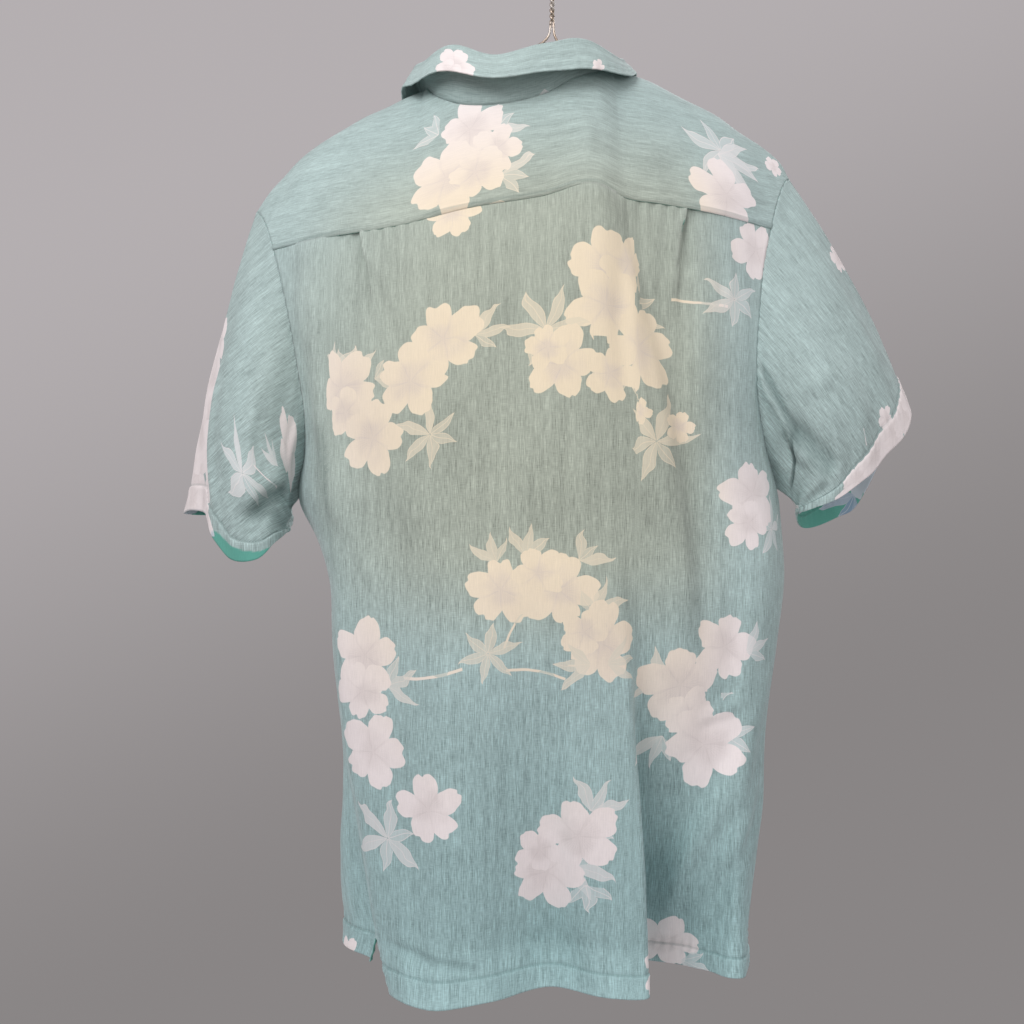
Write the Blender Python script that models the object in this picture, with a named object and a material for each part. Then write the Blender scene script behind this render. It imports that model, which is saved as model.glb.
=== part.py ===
"""A short-sleeved Hawaiian shirt hanging on a twisted-wire hanger.

The shirt hangs by its own weight: the yoke lies over the hanger's arms, the collar stands
round the hook, the back and the fronts fall from the yoke in long folds, and the sleeves
droop past the ends of the arms.

Axes: +Z up, +X to the wearer's right, the back of the shirt faces -Y.
Origin: the inside top of the hanger's hook.
Sizes are millimetres; put_mesh turns them into metres.

Each piece of cloth is a middle surface, a function of two parameters, given a wall of the
same thickness on both sides.  Levels on the body are a share v of the way from the yoke
seam (0) to the hem (1).
"""
import math

import bpy
import numpy as np

MM = 0.001

# ---- driving dimensions -------------------------------------------------------------
CLOTH = 1.0                 # thickness of the cloth wall
SEAM_GAP = 0.3              # gap left between two pieces at a seam
UNDERARM_GAP = 1.5          # extra gap where four walls meet at the underarm
UNDERARM = 0.345            # level of the underarm
SLIT_TOP = 0.945            # level where the side seam ends and the slit starts
NECK_X = -29.0              # middle of the neck: the shirt hangs a little to the left
NECK_HALF_WIDTH = 80.0
NECK_BACK = 56.0            # the neckline's depth behind and in front of the hanger
NECK_FRONT = 62.0
NECK_STEP = 10.0            # every piece has a point each ten degrees round the neck
SEAM_ANGLE = 120.0          # where the yoke's front seam meets the neckline
LAP_ANGLE = 10.0            # how far each front passes the middle, round the neck
PLACKET_LAP = NECK_HALF_WIDTH * math.sin(math.radians(LAP_ANGLE))
PLACKET_STEP = 1.6          # the left front lies this far outside the right one
NECK_CORNER = 0.56          # share of a front's width where its neckline starts
FLAT_FROM = 0.86            # and where it is level with the front edge
NECK_START = 0.36           # shares of the yoke's width between which the neckline runs
NECK_END = 0.66
YOKE_END = 0.09             # share of the armhole that is the yoke, from the crown each way
SHOULDER_COLUMNS = 8        # columns of cloth along each shoulder
COLLAR_FOLD = 2.2           # radius of the collar's fold
NEAR = 0.03                 # a step off a seam into a piece, as a share of its width
BUTTON_DIAMETER = 11.5
BUTTON_THICKNESS = 2.6
WIRE = 2.2                  # diameter of the hanger's wire
HOOK_RADIUS = 21.0          # inside radius of the hook

# ---- the garment's edges ------------------------------------------------------------
# Edges of the back from the yoke seam to the underarm: left and right points.
BACK_ARMHOLE = (
    ("place", "v", "left_x", "left_y", "left_z", "right_x", "right_y", "right_z"),
    ("yoke corner", 0.000, -238, -25, -288, 186, -25, -270),
    ("upper", 0.055, -229, -34, -321, 178, -34, -305),
    ("middle", 0.115, -221, -38, -357, 173, -40, -346),
    ("lower", 0.175, -215, -36, -394, 171, -39, -386),
    ("turn", 0.230, -211, -29, -427, 174, -32, -422),
    ("low turn", 0.285, -213, -12, -461, 183, -17, -458),
    ("underarm", 0.345, -222, 12, -500, 196, 4, -492),
)
# Edges of the fronts over the same levels.
FRONT_ARMHOLE = (
    ("place", "v", "left_x", "left_y", "left_z", "right_x", "right_y", "right_z"),
    ("yoke corner", 0.000, -247, 18, -272, 197, 16, -246),
    ("upper", 0.055, -236, 30, -307, 187, 28, -287),
    ("middle", 0.115, -226, 41, -347, 178, 39, -334),
    ("lower", 0.175, -219, 46, -386, 174, 43, -379),
    ("turn", 0.230, -215, 43, -424, 177, 37, -418),
    ("low turn", 0.285, -216, 30, -461, 185, 23, -456),
    ("underarm", 0.345, -222, 12, -500, 196, 4, -492),
)
# The side seams from the underarm to the hem.
SIDE_SEAM = (
    ("place", "v", "left_x", "left_y", "left_z", "right_x", "right_y", "right_z"),
    ("under sleeve", 0.400, -205, 8, -536, 200, 3, -529),
    ("ribs", 0.455, -193, 0, -570, 202, 2, -565),
    ("waist", 0.550, -190, -2, -628, 196, 3, -625),
    ("hip", 0.670, -182, -2, -702, 186, 4, -700),
    ("low hip", 0.780, -170, -6, -770, 183, 5, -769),
    ("above slit", 0.900, -157, -10, -843, 173, 5, -842),
    ("slit", 0.945, -151, -12, -871, 170, 6, -870),
    ("hem", 1.000, -147, -14, -905, 169, 8, -904),
)
# The yoke's seam across the back.
BACK_SEAM = (
    ("x", "y", "z"),
    (-238, -25, -288),
    (-194, -47, -283),
    (-123, -66, -275),
    (-70, -76, -264),
    (-11, -83, -256),
    (34, -92, -249),
    (57, -81, -257),
    (87, -73, -260),
    (130, -58, -264),
    (186, -25, -270),
)
# The shoulder's ridge, which lies on the hanger's arms, from the sleeve to the neck.
RIDGE = (
    ("place", "share", "left_x", "left_z", "right_x", "right_z"),
    ("sleeve", 0.00, -257, -252, 206, -223),
    ("droop", 0.14, -238, -227, 197, -208),
    ("arm's end", 0.30, -214, -200, 181, -193),
    ("past the end", 0.46, -190, -186, 160, -180),
    ("middle", 0.66, -160, -169, 129, -161),
    ("near the neck", 0.86, -129, -154, 80, -138),
    ("neck", 1.00, -109, -146, 51, -127),
)
# The yoke's seams in front, from the sleeve to the neck.
FRONT_SEAM = (
    ("place", "share", "left_x", "left_y", "left_z", "right_x", "right_y", "right_z"),
    ("sleeve", 0.00, -247, 18, -272, 197, 16, -246),
    ("droop", 0.16, -228, 26, -243, 187, 24, -228),
    ("arm's end", 0.34, -200, 31, -219, 165, 30, -208),
    ("middle", 0.66, -150, 32, -190, 107, 32, -178),
    ("neck", 1.00, -98.3, 31.0, -170, 40.3, 31.0, -152),
)
# Height of the neckline by the angle round the neck: 0 at the back, 180 in front.
NECKLINE = (
    ("angle", "z"),
    (-196, -230),
    (-180, -233),
    (-150, -212),
    (-120, -170),
    (-90, -146),
    (-57, -162),
    (-36, -172),
    (0, -172),
    (19, -163),
    (32, -152),
    (54, -141),
    (70, -134),
    (90, -127),
    (120, -152),
    (150, -205),
    (180, -233),
    (196, -230),
)
# The collar's profile by the same angle: it starts above the neckline by the seat, the
# stand rises and leans out, then the fall drops and spreads.
COLLAR = (
    ("place", "angle", "seat", "rise", "lean", "drop", "spread"),
    ("left point", -176, 1.8, 17, 2, 56, 25),
    ("left front", -135, 1.9, 14, 5, 38, 26),
    ("left side", -95, 1.6, 10, 7, 15, 15),
    ("left shoulder", -68, 1.2, 22, 6, 19, 14),
    ("left peak", -40, 1.0, 44, 5, 22, 14),
    ("dip", -12, 1.0, 35, 5, 21, 16),
    ("right of the dip", 12, 1.0, 37, 5, 25, 16),
    ("right peak", 38, 1.0, 26, 5, 26, 16),
    ("right shoulder", 66, 1.2, 7, 7, 16, 15),
    ("right side", 95, 1.6, 3, 8, 10, 15),
    ("right front", 135, 1.9, 14, 5, 38, 26),
    ("right point", 176, 1.8, 17, 2, 56, 25),
)
# How far the cloth stands out from the line between its edges, and where the fronts meet.
BODY = (
    ("v", "back_bulge", "front_y", "front_x", "roundness"),
    (0.000, 56, 66, -26, 0.30),
    (0.115, 54, 73, -22, 0.45),
    (0.175, 59, 76, -20, 0.55),
    (0.230, 68, 78, -18, 0.65),
    (0.285, 85, 80, -16, 0.80),
    (0.345, 108, 82, -14, 0.90),
    (0.400, 105, 83, -13, 0.95),
    (0.600, 98, 84, -10, 1.00),
    (0.800, 81, 80, -8, 1.00),
    (1.000, 56, 78, -6, 1.00),
)

# ---- folds --------------------------------------------------------------------------
# A lap is a place where the cloth steps back (step), by level; where overlap is more than
# half, its nearer side hangs in front of its farther one.  reach is how far the step lasts.
LONG_FOLD = (
    ("v", "x", "step", "overlap", "half", "reach"),
    (0.00, 50, 3, 0, 9, 50),
    (0.25, 92, 14, 2, 12, 60),
    (0.45, 112, 14, 2, 13, 60),
    (0.60, 117, 6, 0, 14, 60),
    (0.75, 118, 0, 0, 14, 60),
)
HEM_LAP = (
    ("v", "x", "step", "overlap", "half", "reach"),
    (0.34, 50, 0, 0, 14, 40),
    (0.54, 62, 16, 3, 14, 45),
    (0.69, 66, 36, 11, 13, 50),
    (0.83, 64, 62, 19, 12, 55),
    (1.00, 62, 92, 26, 12, 60),
)
LEFT_PLEAT = (
    ("v", "x", "step", "overlap", "half", "reach"),
    (0.00, -158, -4.0, 6.0, 3.5, 26),
    (0.07, -152, -3.5, 3.0, 4.5, 26),
    (0.15, -145, 0, 0, 6, 26),
)
RIGHT_PLEAT = (
    ("v", "x", "step", "overlap", "half", "reach"),
    (0.00, 106, 4.0, 6.0, 3.5, 26),
    (0.07, 103, 3.5, 3.0, 4.5, 26),
    (0.15, 99, 0, 0, 6, 26),
)
BACK_LAPS = (LONG_FOLD, HEM_LAP, LEFT_PLEAT, RIGHT_PLEAT)

# A soft ridge stands towards the viewer of its side; a negative depth is a hollow.
BACK_RIDGES = (
    ("name", "x_top", "x_middle", "x_hem", "top", "middle", "hem", "half"),
    ("left swell", -95, -95, -100, 0, 4, 20, 34),
    ("middle hollow", -10, -8, -4, 0, 0, -32, 34),
    ("swell by the lap", 40, 30, 48, 4, 0, 16, 22),
    ("right swell", 150, 160, 157, 0, 0, 22, 14),
    ("left edge fold", -205, -188, -160, 6, 12, 0, 16),
)
FRONT_RIDGES = (
    ("name", "x_top", "x_middle", "x_hem", "top", "middle", "hem", "half"),
    ("left outer", -190, -150, -140, 0, 12, 20, 24),
    ("left inner", -90, -80, -72, 0, 8, 16, 26),
    ("left hollow", -130, -116, -105, 0, -8, -16, 22),
    ("right inner", 60, 62, 66, 0, 8, 18, 26),
    ("right hollow", 96, 100, 104, 0, -8, -14, 20),
    ("right outer", 150, 142, 138, 0, 10, 18, 22),
)
# Below the hip the left front turns round the side before it goes forward.
SIDE_WRAP = (
    ("v", "out"),
    (0.60, 0),
    (0.72, 18),
    (0.86, 40),
    (0.945, 48),
    (1.00, 43),
)
# The corners at the slits, moved from the side seam's end.
SLIT_OPEN = (
    ("corner", "x", "y", "z"),
    ("left back", 12, -26, -8),
    ("right back", 2, -5, 0),
    ("left front", -9, 0, 6),
    ("right front", 0, 0, 0),
)

# ---- sleeves: where each lengthwise line of a sleeve ends at the hem ------------------
LEFT_SLEEVE = (
    ("line", "share", "x", "y", "z", "puff_x", "puff_y"),
    ("crown", 0.00, -300, 2, -514, -14, 0),
    ("back crease", 0.09, -288, -25, -533, -16, -8),
    ("back outer", 0.20, -272, -36, -552, -10, -14),
    ("back inner", 0.30, -250, -38, -552, -10, -4),
    ("inner", 0.40, -237, -30, -539, -8, 0),
    ("underarm", 0.50, -230, -4, -530, -4, 0),
    ("front inner", 0.60, -232, 33, -524, -6, 2),
    ("front", 0.71, -254, 68, -519, -6, 14),
    ("front outer", 0.82, -300, 87, -516, -8, 12),
    ("front corner", 0.91, -337, 72, -514, -10, 6),
    ("front crease", 0.96, -319, 36, -511, -14, 4),
)
RIGHT_SLEEVE = (
    ("line", "share", "x", "y", "z", "puff_x", "puff_y"),
    ("crown", 0.00, 317, 26, -412, 6, -4),
    ("back crease", 0.10, 309, 0, -443, 6, -14),
    ("back outer", 0.20, 286, -14, -463, 6, -20),
    ("back", 0.30, 268, -24, -481, 4, -18),
    ("back inner", 0.40, 243, -30, -500, 6, -4),
    ("inner", 0.46, 219, -20, -511, 5, 0),
    ("underarm", 0.52, 215, 6, -513, 4, 0),
    ("front inner", 0.60, 229, 33, -526, 6, 2),
    ("front", 0.70, 262, 54, -517, 4, 12),
    ("front outer", 0.80, 284, 64, -504, 6, 14),
    ("front crease", 0.90, 306, 62, -458, 8, 10),
)

# ---- hanger -------------------------------------------------------------------------
TWIST_TOP = -46.0           # the two wires wind round each other between these heights
TWIST_BOTTOM = -86.0
TWIST_TURNS = 4.0
LEFT_ARM = (
    ("x", "z"),
    (-1.3, -90),
    (-3, -98),
    (-8, -104),
    (-20, -109),
    (-51, -120.5),
    (-109, -148.6),
    (-160, -171.9),
    (-190, -189.3),
    (-205, -198.6),
)
RIGHT_ARM = (
    ("x", "z"),
    (1.3, -90),
    (2.4, -98),
    (7, -106),
    (20, -113.5),
    (51, -129.9),
    (129, -164.2),
    (160, -182.9),
    (172, -190.9),
)
BAR_Z = -218.0              # height of the bar

# ---- finishes -----------------------------------------------------------------------
MATERIALS = {
    "cloth": ((0.33, 0.50, 0.46, 1), 0.85, 0.0),
    "button": ((0.72, 0.70, 0.62, 1), 0.35, 0.0),
    "wire": ((0.45, 0.38, 0.33, 1), 0.35, 0.9),
}


# ---- reading the tables -------------------------------------------------------------
def pick(table, *names):
    """The named columns of a table as an array, a row for each of its rows."""
    head = table[0]
    return np.array([[row[head.index(name)] for name in names] for row in table[1:]], float)


def smooth(knots, values, at):
    """A curve through the rows: cubic between them, its slope at a row is that of the
    parabola through its neighbours, and it stays at the end rows beyond them."""
    knots = np.asarray(knots, float)
    values = np.asarray(values, float)
    at = np.clip(np.asarray(at, float), knots[0], knots[-1])
    slope = np.gradient(values, knots, axis=0)
    row = np.clip(np.searchsorted(knots, at, side="right") - 1, 0, len(knots) - 2)
    span = knots[row + 1] - knots[row]
    t = (at - knots[row]) / span
    if values.ndim > 1:
        t = t[..., None]
        span = span[..., None]
    start, end = values[row], values[row + 1]
    rise = start + (end - start) * t * t * (3 - 2 * t)
    return rise + span * t * (1 - t) * (slope[row] * (1 - t) - slope[row + 1] * t)


def from_table(table, knot, names, at):
    """The named columns, read at places on the knot column."""
    return smooth(pick(table, knot)[:, 0], pick(table, *names), at)


def unit(vectors):
    """The vectors at length one."""
    length = np.linalg.norm(vectors, axis=-1, keepdims=True)
    return vectors / np.maximum(length, 1e-9)


# ---- the garment's edges ------------------------------------------------------------
def side_edge(v, hand, face):
    """The side of the body at level v: down the armhole, then down the side seam."""
    names = [hand + "_x", hand + "_y", hand + "_z"]
    armhole = BACK_ARMHOLE if face == "back" else FRONT_ARMHOLE
    table = armhole + SIDE_SEAM[1:]
    point = from_table(table, "v", names, v)
    corners = {row[0]: np.array(row[1:]) for row in SLIT_OPEN[1:]}
    open_share = np.clip((v - SLIT_TOP) / (1 - SLIT_TOP), 0, 1) ** 1.3
    return point + corners[hand + " " + face] * open_share[..., None]


def neck(angle):
    """The neckline: an oval seen from above, by the angle in degrees from the back."""
    turn = np.radians(angle)
    x = NECK_X + NECK_HALF_WIDTH * np.sin(turn)
    depth = np.where(np.cos(turn) > 0, NECK_BACK, NECK_FRONT)
    y = -depth * np.cos(turn)
    z = from_table(NECKLINE, "angle", ["z"], angle)[..., 0]
    return np.stack([x, y, z], -1)


def ridge(share, hand):
    """The shoulder's ridge, from the sleeve (0) to the neck (1)."""
    xz = from_table(RIDGE, "share", [hand + "_x", hand + "_z"], share)
    return np.stack([xz[..., 0], np.zeros(np.shape(share)), xz[..., 1]], -1)


def front_seam(share, hand):
    """The yoke's front seam, from the sleeve (0) to the neck (1)."""
    return from_table(FRONT_SEAM, "share", [hand + "_x", hand + "_y", hand + "_z"], share)


def back_seam(x):
    """The yoke's seam across the back, by x."""
    yz = from_table(BACK_SEAM, "x", ["y", "z"], x)
    return np.stack([x, yz[..., 0], yz[..., 1]], -1)


# ---- folds --------------------------------------------------------------------------
def ridges(table, x, v):
    """How far the soft ridges stand out at x: each is a bell across the cloth whose middle
    and depth change smoothly from the yoke seam to the hem."""
    out = np.zeros(np.shape(x))
    levels = (0.0, 0.5, 1.0)
    for name, x_top, x_middle, x_hem, top, middle, hem, half in table[1:]:
        centre = smooth(levels, (x_top, x_middle, x_hem), v)
        depth = smooth(levels, (top, middle, hem), v)
        out += depth * np.exp(-((x - centre) / half) ** 2)
    return out


def lap(table, x, v):
    """A lap's push: the cloth runs on past the fold and back again under it (the slope of
    a bell) while it steps back (a soft stair) and slowly returns (a wide bell)."""
    row = from_table(table, "v", ["x", "step", "overlap", "half", "reach"], v)
    centre, step, overlap, half, reach = np.moveaxis(row, -1, 0)
    q = (x - centre) / half
    facing = np.where(step < 0, -1.0, 1.0)
    sideways = -overlap * 1.65 * q * np.exp(-q * q / 2)
    stair = 0.5 * (1 + np.tanh(1.4 * q * facing))
    fade = np.exp(-np.clip((x - centre) * facing / reach, 0, None) ** 2)
    return sideways, np.abs(step) * stair * fade


# ---- middle surfaces of the pieces ----------------------------------------------------
def back_surface(s, v, folded=True):
    """The back: s runs from the left side (0) to the right (1), v from the yoke seam to the
    hem.  Its points run across from edge to edge, stand out by the bulge, follow the seam
    at the top, and are pushed by the laps and the ridges."""
    left = side_edge(v, "left", "back")
    right = side_edge(v, "right", "back")
    bulge, roundness = np.moveaxis(from_table(BODY, "v", ["back_bulge", "roundness"], v), -1, 0)
    across = s + roundness * ((1 - np.cos(np.pi * s)) / 2 - s)
    point = left + (right - left) * across[..., None]
    point[..., 1] -= bulge * np.sin(np.pi * s)
    top_v = np.zeros(np.shape(v))
    top_roundness = BODY[1][4]
    top_across = s + top_roundness * ((1 - np.cos(np.pi * s)) / 2 - s)
    top_left = side_edge(top_v, "left", "back")
    top_right = side_edge(top_v, "right", "back")
    top = top_left + (top_right - top_left) * top_across[..., None]
    top[..., 1] -= BODY[1][1] * np.sin(np.pi * s)
    seam = back_seam(top[..., 0])
    fade = np.clip(1 - v / 0.55, 0, 1) ** 2
    point += (seam - top) * fade[..., None]
    if folded:
        inside = np.clip(np.sin(np.pi * s) * 4, 0, 1)
        base_x = point[..., 0].copy()
        point[..., 1] -= ridges(BACK_RIDGES, base_x, v) * inside
        for table in BACK_LAPS:
            sideways, back_off = lap(table, base_x, v)
            point[..., 0] += sideways * inside
            point[..., 1] += back_off * inside
        climb = back_seam(point[..., 0])[..., 2] - back_seam(base_x)[..., 2]
        point[..., 2] += climb * fade
    return point


def front_top(s, hand):
    """The top edge of a front: along the yoke's front seam, then down the neckline."""
    sign = -1 if hand == "left" else 1
    seam = front_seam(np.clip(s / NECK_CORNER, 0, 1), hand)
    share = np.clip((s - NECK_CORNER) / (1 - NECK_CORNER), 0, 1)
    angle = SEAM_ANGLE + (180 + LAP_ANGLE - SEAM_ANGLE) * share
    return np.where((s < NECK_CORNER)[..., None], seam, neck(sign * angle))


def front_surface(s, v, hand):
    """A front: s runs from the side (0) to the front edge (1), v from the top edge to the
    hem, built like the back, with a quarter turn from the side to the middle."""
    sign = -1 if hand == "left" else 1

    def plain(level):
        side = side_edge(level, hand, "front")
        depth, middle, roundness = np.moveaxis(
            from_table(BODY, "v", ["front_y", "front_x", "roundness"], level), -1, 0)
        edge_x = middle - sign * PLACKET_LAP
        across = s + roundness * ((1 - np.cos(np.pi * s / 2)) - s)
        x = side[..., 0] + (edge_x - side[..., 0]) * across
        forward = np.sin(np.pi / 2 * np.clip(s / FLAT_FROM, 0, 1)) ** 0.8
        y = side[..., 1] + (depth - side[..., 1]) * forward
        return np.stack([x, y, side[..., 2]], -1)

    point = plain(v)
    fade = np.clip(1 - v / 0.6, 0, 1) ** 2
    point += (front_top(s, hand) - plain(np.zeros(np.shape(v)))) * fade[..., None]
    inside = np.clip(s * 5, 0, 1) * np.clip((1 - s) * 8, 0, 1)
    point[..., 1] += ridges(FRONT_RIDGES, point[..., 0].copy(), v) * inside
    if hand == "left":
        out = from_table(SIDE_WRAP, "v", ["out"], v)[..., 0]
        point[..., 0] -= out * np.sin(np.pi * np.clip(s / 0.5, 0, 1)) ** 1.5
        lapped = np.clip((s - 0.72) / 0.12, 0, 1)
        point[..., 1] += PLACKET_STEP * lapped * lapped * (3 - 2 * lapped)
    return point


def yoke_surface(u, v):
    """The yoke: u runs from the left sleeve (0) to the right one (1); v runs from the back
    seam (0) up to the ridge or the neckline (1), and on to the front seam (2)."""
    left_share = u / NECK_START
    right_share = (1 - u) / (1 - NECK_END)
    angle = -90 + 180 * np.clip((u - NECK_START) / (NECK_END - NECK_START), 0, 1)
    on_left = (u < NECK_START)[..., None]
    on_right = (u > NECK_END)[..., None]
    spine = np.where(on_left, ridge(np.clip(left_share, 0, 1), "left"), neck(angle))
    spine = np.where(on_right, ridge(np.clip(right_share, 0, 1), "right"), spine)
    front = np.where(u[..., None] < 0.5, front_seam(np.clip(left_share, 0, 1), "left"),
                     front_seam(np.clip(right_share, 0, 1), "right"))
    seam_x = smooth((0, NECK_START, NECK_END, 1), (-238, -118, 58, 186), u)
    seam = back_seam(seam_x)
    openness = np.clip(np.cos(np.radians(angle)), 0, 1) ** 0.7
    climb = np.clip(v, 0, 1)
    rest = 1 - climb
    height_power = (1.7 - 0.6 * openness)
    back = seam + (spine - seam) * climb[..., None]
    back[..., 2] = spine[..., 2] + (seam - spine)[..., 2] * rest ** height_power
    over = np.clip(v - 1, 0, 1)
    point = back + (front - spine) * over[..., None]
    point[..., 2] = back[..., 2] + (front - spine)[..., 2] * over ** 1.6
    return point


def armhole(share, hand):
    """The armhole: from the crown over the yoke's back end, down the back's edge, up the
    front's edge and over the yoke's front end, as share goes from 0 to 1."""
    return inside_armhole(share, hand, 0.0)


def inside_armhole(share, hand, inset):
    """Points beside the armhole on the yoke, the back and the fronts, drawn in from it by
    a share of their width."""
    behind = share < 0.5
    u = np.full(np.shape(share), inset if hand == "left" else 1 - inset)
    over_yoke = np.where(behind, 1 - share / YOKE_END, 1 + (1 - share) / YOKE_END)
    on_yoke = yoke_surface(u, np.clip(over_yoke, 0, 2))
    from_crown = np.where(behind, share, 1 - share)
    level = np.clip((from_crown - YOKE_END) / (0.5 - YOKE_END), 0, 1) * UNDERARM
    on_body = np.where(behind[..., None], back_surface(u, level, False),
                       front_surface(np.full(np.shape(share), inset), level, hand))
    return np.where((from_crown < YOKE_END)[..., None], on_yoke, on_body)


def sleeve_surface(share, t, hand):
    """A sleeve: share goes round from the crown by the back, t from the armhole to the hem.
    Each line runs straight to the hem and puffs out by half a wave."""
    table = LEFT_SLEEVE if hand == "left" else RIGHT_SLEEVE
    head, rows = table[0], table[1:]
    closed = (head,) + rows + ((rows[0][0], 1.0) + rows[0][2:],)
    hem = from_table(closed, "share", ["x", "y", "z"], share)
    puff = from_table(closed, "share", ["puff_x", "puff_y"], share)
    top = armhole(share, hand)
    point = top + (hem - top) * t[..., None]
    point[..., :2] += puff * np.sin(np.pi * t)[..., None]
    return point


def collar_surface(angle, q):
    """The collar: the angle goes round the neck, q up the stand (0 to 0.4), over the fold
    (0.4 to 0.6) and down the fall (0.6 to 1)."""
    seat, rise, lean, drop, spread = np.moveaxis(
        from_table(COLLAR, "angle", ["seat", "rise", "lean", "drop", "spread"], angle), -1, 0)
    fold = COLLAR_FOLD
    stand = np.clip(q / 0.4, 0, 1)
    turn = np.pi * np.clip((q - 0.4) / 0.2, 0, 1)
    fall = np.clip((q - 0.6) / 0.4, 0, 1)
    out = lean * stand ** 1.2 + fold * (1 - np.cos(turn))
    up = rise * stand + fold * np.sin(turn)
    out += (spread - 2 * fold) * fall
    up -= drop * fall
    radians = np.radians(angle)
    outward = unit(np.stack([np.sin(radians), -np.cos(radians), np.zeros(np.shape(angle))], -1))
    point = neck(angle) + outward * out[..., None]
    point[..., 2] += up + seat
    return point


# ---- meshes -------------------------------------------------------------------------
def material(name):
    """The finish of that name, made once."""
    if name in bpy.data.materials:
        return bpy.data.materials[name]
    colour, roughness, metallic = MATERIALS[name]
    made = bpy.data.materials.new(name)
    made.use_nodes = True
    shader = made.node_tree.nodes["Principled BSDF"]
    shader.inputs["Base Color"].default_value = colour
    shader.inputs["Roughness"].default_value = roughness
    shader.inputs["Metallic"].default_value = metallic
    return made


def put_mesh(name, points, faces, finish):
    """An object from points in millimetres and faces, turned to point outwards."""
    points = np.asarray(points, float) * MM
    volume = 0.0
    for face in faces:
        a = points[face[0]]
        for i in range(1, len(face) - 1):
            volume += np.dot(a, np.cross(points[face[i]], points[face[i + 1]]))
    if volume < 0:
        faces = [face[::-1] for face in faces]
    mesh = bpy.data.meshes.new(name)
    mesh.from_pydata([tuple(p) for p in points], [], [tuple(int(i) for i in f) for f in faces])
    mesh.update()
    mesh.materials.append(material(finish))
    for polygon in mesh.polygons:
        polygon.use_smooth = True
    made = bpy.data.objects.new(name, mesh)
    bpy.context.collection.objects.link(made)
    return made


def normals(grid, ring=False):
    """The direction across the cloth at each point of a grid of points."""
    if ring:
        along = np.roll(grid, -1, axis=0) - np.roll(grid, 1, axis=0)
    else:
        along = np.gradient(grid, axis=0)
    return unit(np.cross(along, np.gradient(grid, axis=1)))


def mitre(along, one, other):
    """The direction of a seam's cut faces: square to the seam and halfway between the two
    pieces that leave it, so their walls never meet."""
    return unit(np.cross(along, unit(one) - unit(other)))


def cloth_wall(name, grid, keep=None, ring=False, cuts=()):
    """A closed wall of cloth round a grid of points: a skin half the thickness away on
    each side, joined along every open edge of the kept cells.  cuts gives the directions
    of the cut faces along a border, as (index, directions)."""
    across, down = grid.shape[:2]
    facing = normals(grid, ring)
    for index, wanted in cuts:
        same_way = np.sum(facing[index] * wanted, axis=-1, keepdims=True)
        facing[index] = np.where(same_way < 0, -wanted, wanted)
    shift = facing * CLOTH / 2
    points = np.concatenate([(grid + shift).reshape(-1, 3), (grid - shift).reshape(-1, 3)])
    other = across * down
    halves = []
    for i in range(across if ring else across - 1):
        for j in range(down - 1):
            if keep is None or keep[i, j]:
                n = (i + 1) % across
                a, b, c, d = i * down + j, n * down + j, n * down + j + 1, i * down + j + 1
                halves += [(a, b, c), (a, c, d)]
    edges = {(a, b) for half in halves for a, b in zip(half, half[1:] + half[:1])}
    rims = sorted((a, b) for (a, b) in edges if (b, a) not in edges)
    faces = list(halves)
    faces += [tuple(i + other for i in reversed(half)) for half in halves]
    faces += [(b, a, a + other) for a, b in rims]
    faces += [(b, a + other, b + other) for a, b in rims]
    used = sorted({i for face in faces for i in face})
    place = {old: new for new, old in enumerate(used)}
    faces = [tuple(place[i] for i in face) for face in faces]
    return put_mesh(name, points[used], faces, "cloth")


def trimmed(grid, start=0.0, end=0.0, top=0.0, bottom=0.0):
    """The grid with its border rows drawn in along the cloth by these lengths."""
    grid = grid.copy()
    grid[0] += unit(grid[1] - grid[0]) * np.reshape(start, (-1, 1))
    grid[-1] += unit(grid[-2] - grid[-1]) * np.reshape(end, (-1, 1))
    grid[:, 0] += unit(grid[:, 1] - grid[:, 0]) * np.reshape(top, (-1, 1))
    grid[:, -1] += unit(grid[:, -2] - grid[:, -1]) * np.reshape(bottom, (-1, 1))
    return grid


def spread_out(marks):
    """Steps between marks given as (place, number of steps to the next mark)."""
    parts = [np.linspace(a[0], b[0], a[1], endpoint=False) for a, b in zip(marks, marks[1:])]
    return np.concatenate(parts + [[marks[-1][0]]])


# ---- seams --------------------------------------------------------------------------
def body_levels():
    """Levels of the points down the back and the fronts."""
    return spread_out(((0, 4), (0.17, 4), (UNDERARM, 11), (SLIT_TOP, 2), (1, 0)))


def yoke_levels():
    """Levels of the points over the yoke."""
    return spread_out(((0, 4), (1, 3), (2, 0)))


def yoke_shares(v):
    """Shares of the way round the armhole of levels on the yoke's end."""
    return np.where(v <= 1, (1 - v) * YOKE_END, 1 - (v - 1) * YOKE_END)


def body_shares(v, face):
    """The same of levels on the edge of the back or a front."""
    down = YOKE_END + (0.5 - YOKE_END) * np.clip(v / UNDERARM, 0, 1)
    return down if face == "back" else 1 - down


def ring_shares():
    """Shares round the armhole where the yoke, the back and the front have points."""
    over = yoke_levels()
    down = body_levels()
    down = down[down < UNDERARM + 1e-6]
    return np.concatenate([yoke_shares(over[over <= 1][:0:-1]), body_shares(down, "back"),
                           body_shares(down[-2::-1], "front"),
                           yoke_shares(over[over > 1][-2::-1])])


def armhole_cut(shares, hand):
    """Directions of the cut at some of the ring's points, the same for both sides."""
    ring = ring_shares()
    seam = armhole(ring, hand)
    into_sleeve = sleeve_surface(ring, np.full(len(ring), NEAR * 3), hand)
    into_body = inside_armhole(ring, hand, NEAR)
    along = np.roll(seam, -1, axis=0) - np.roll(seam, 1, axis=0)
    cut = mitre(along, into_sleeve - seam, into_body - seam)
    return cut[[int(np.argmin(np.abs(ring - share))) for share in shares]]


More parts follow.
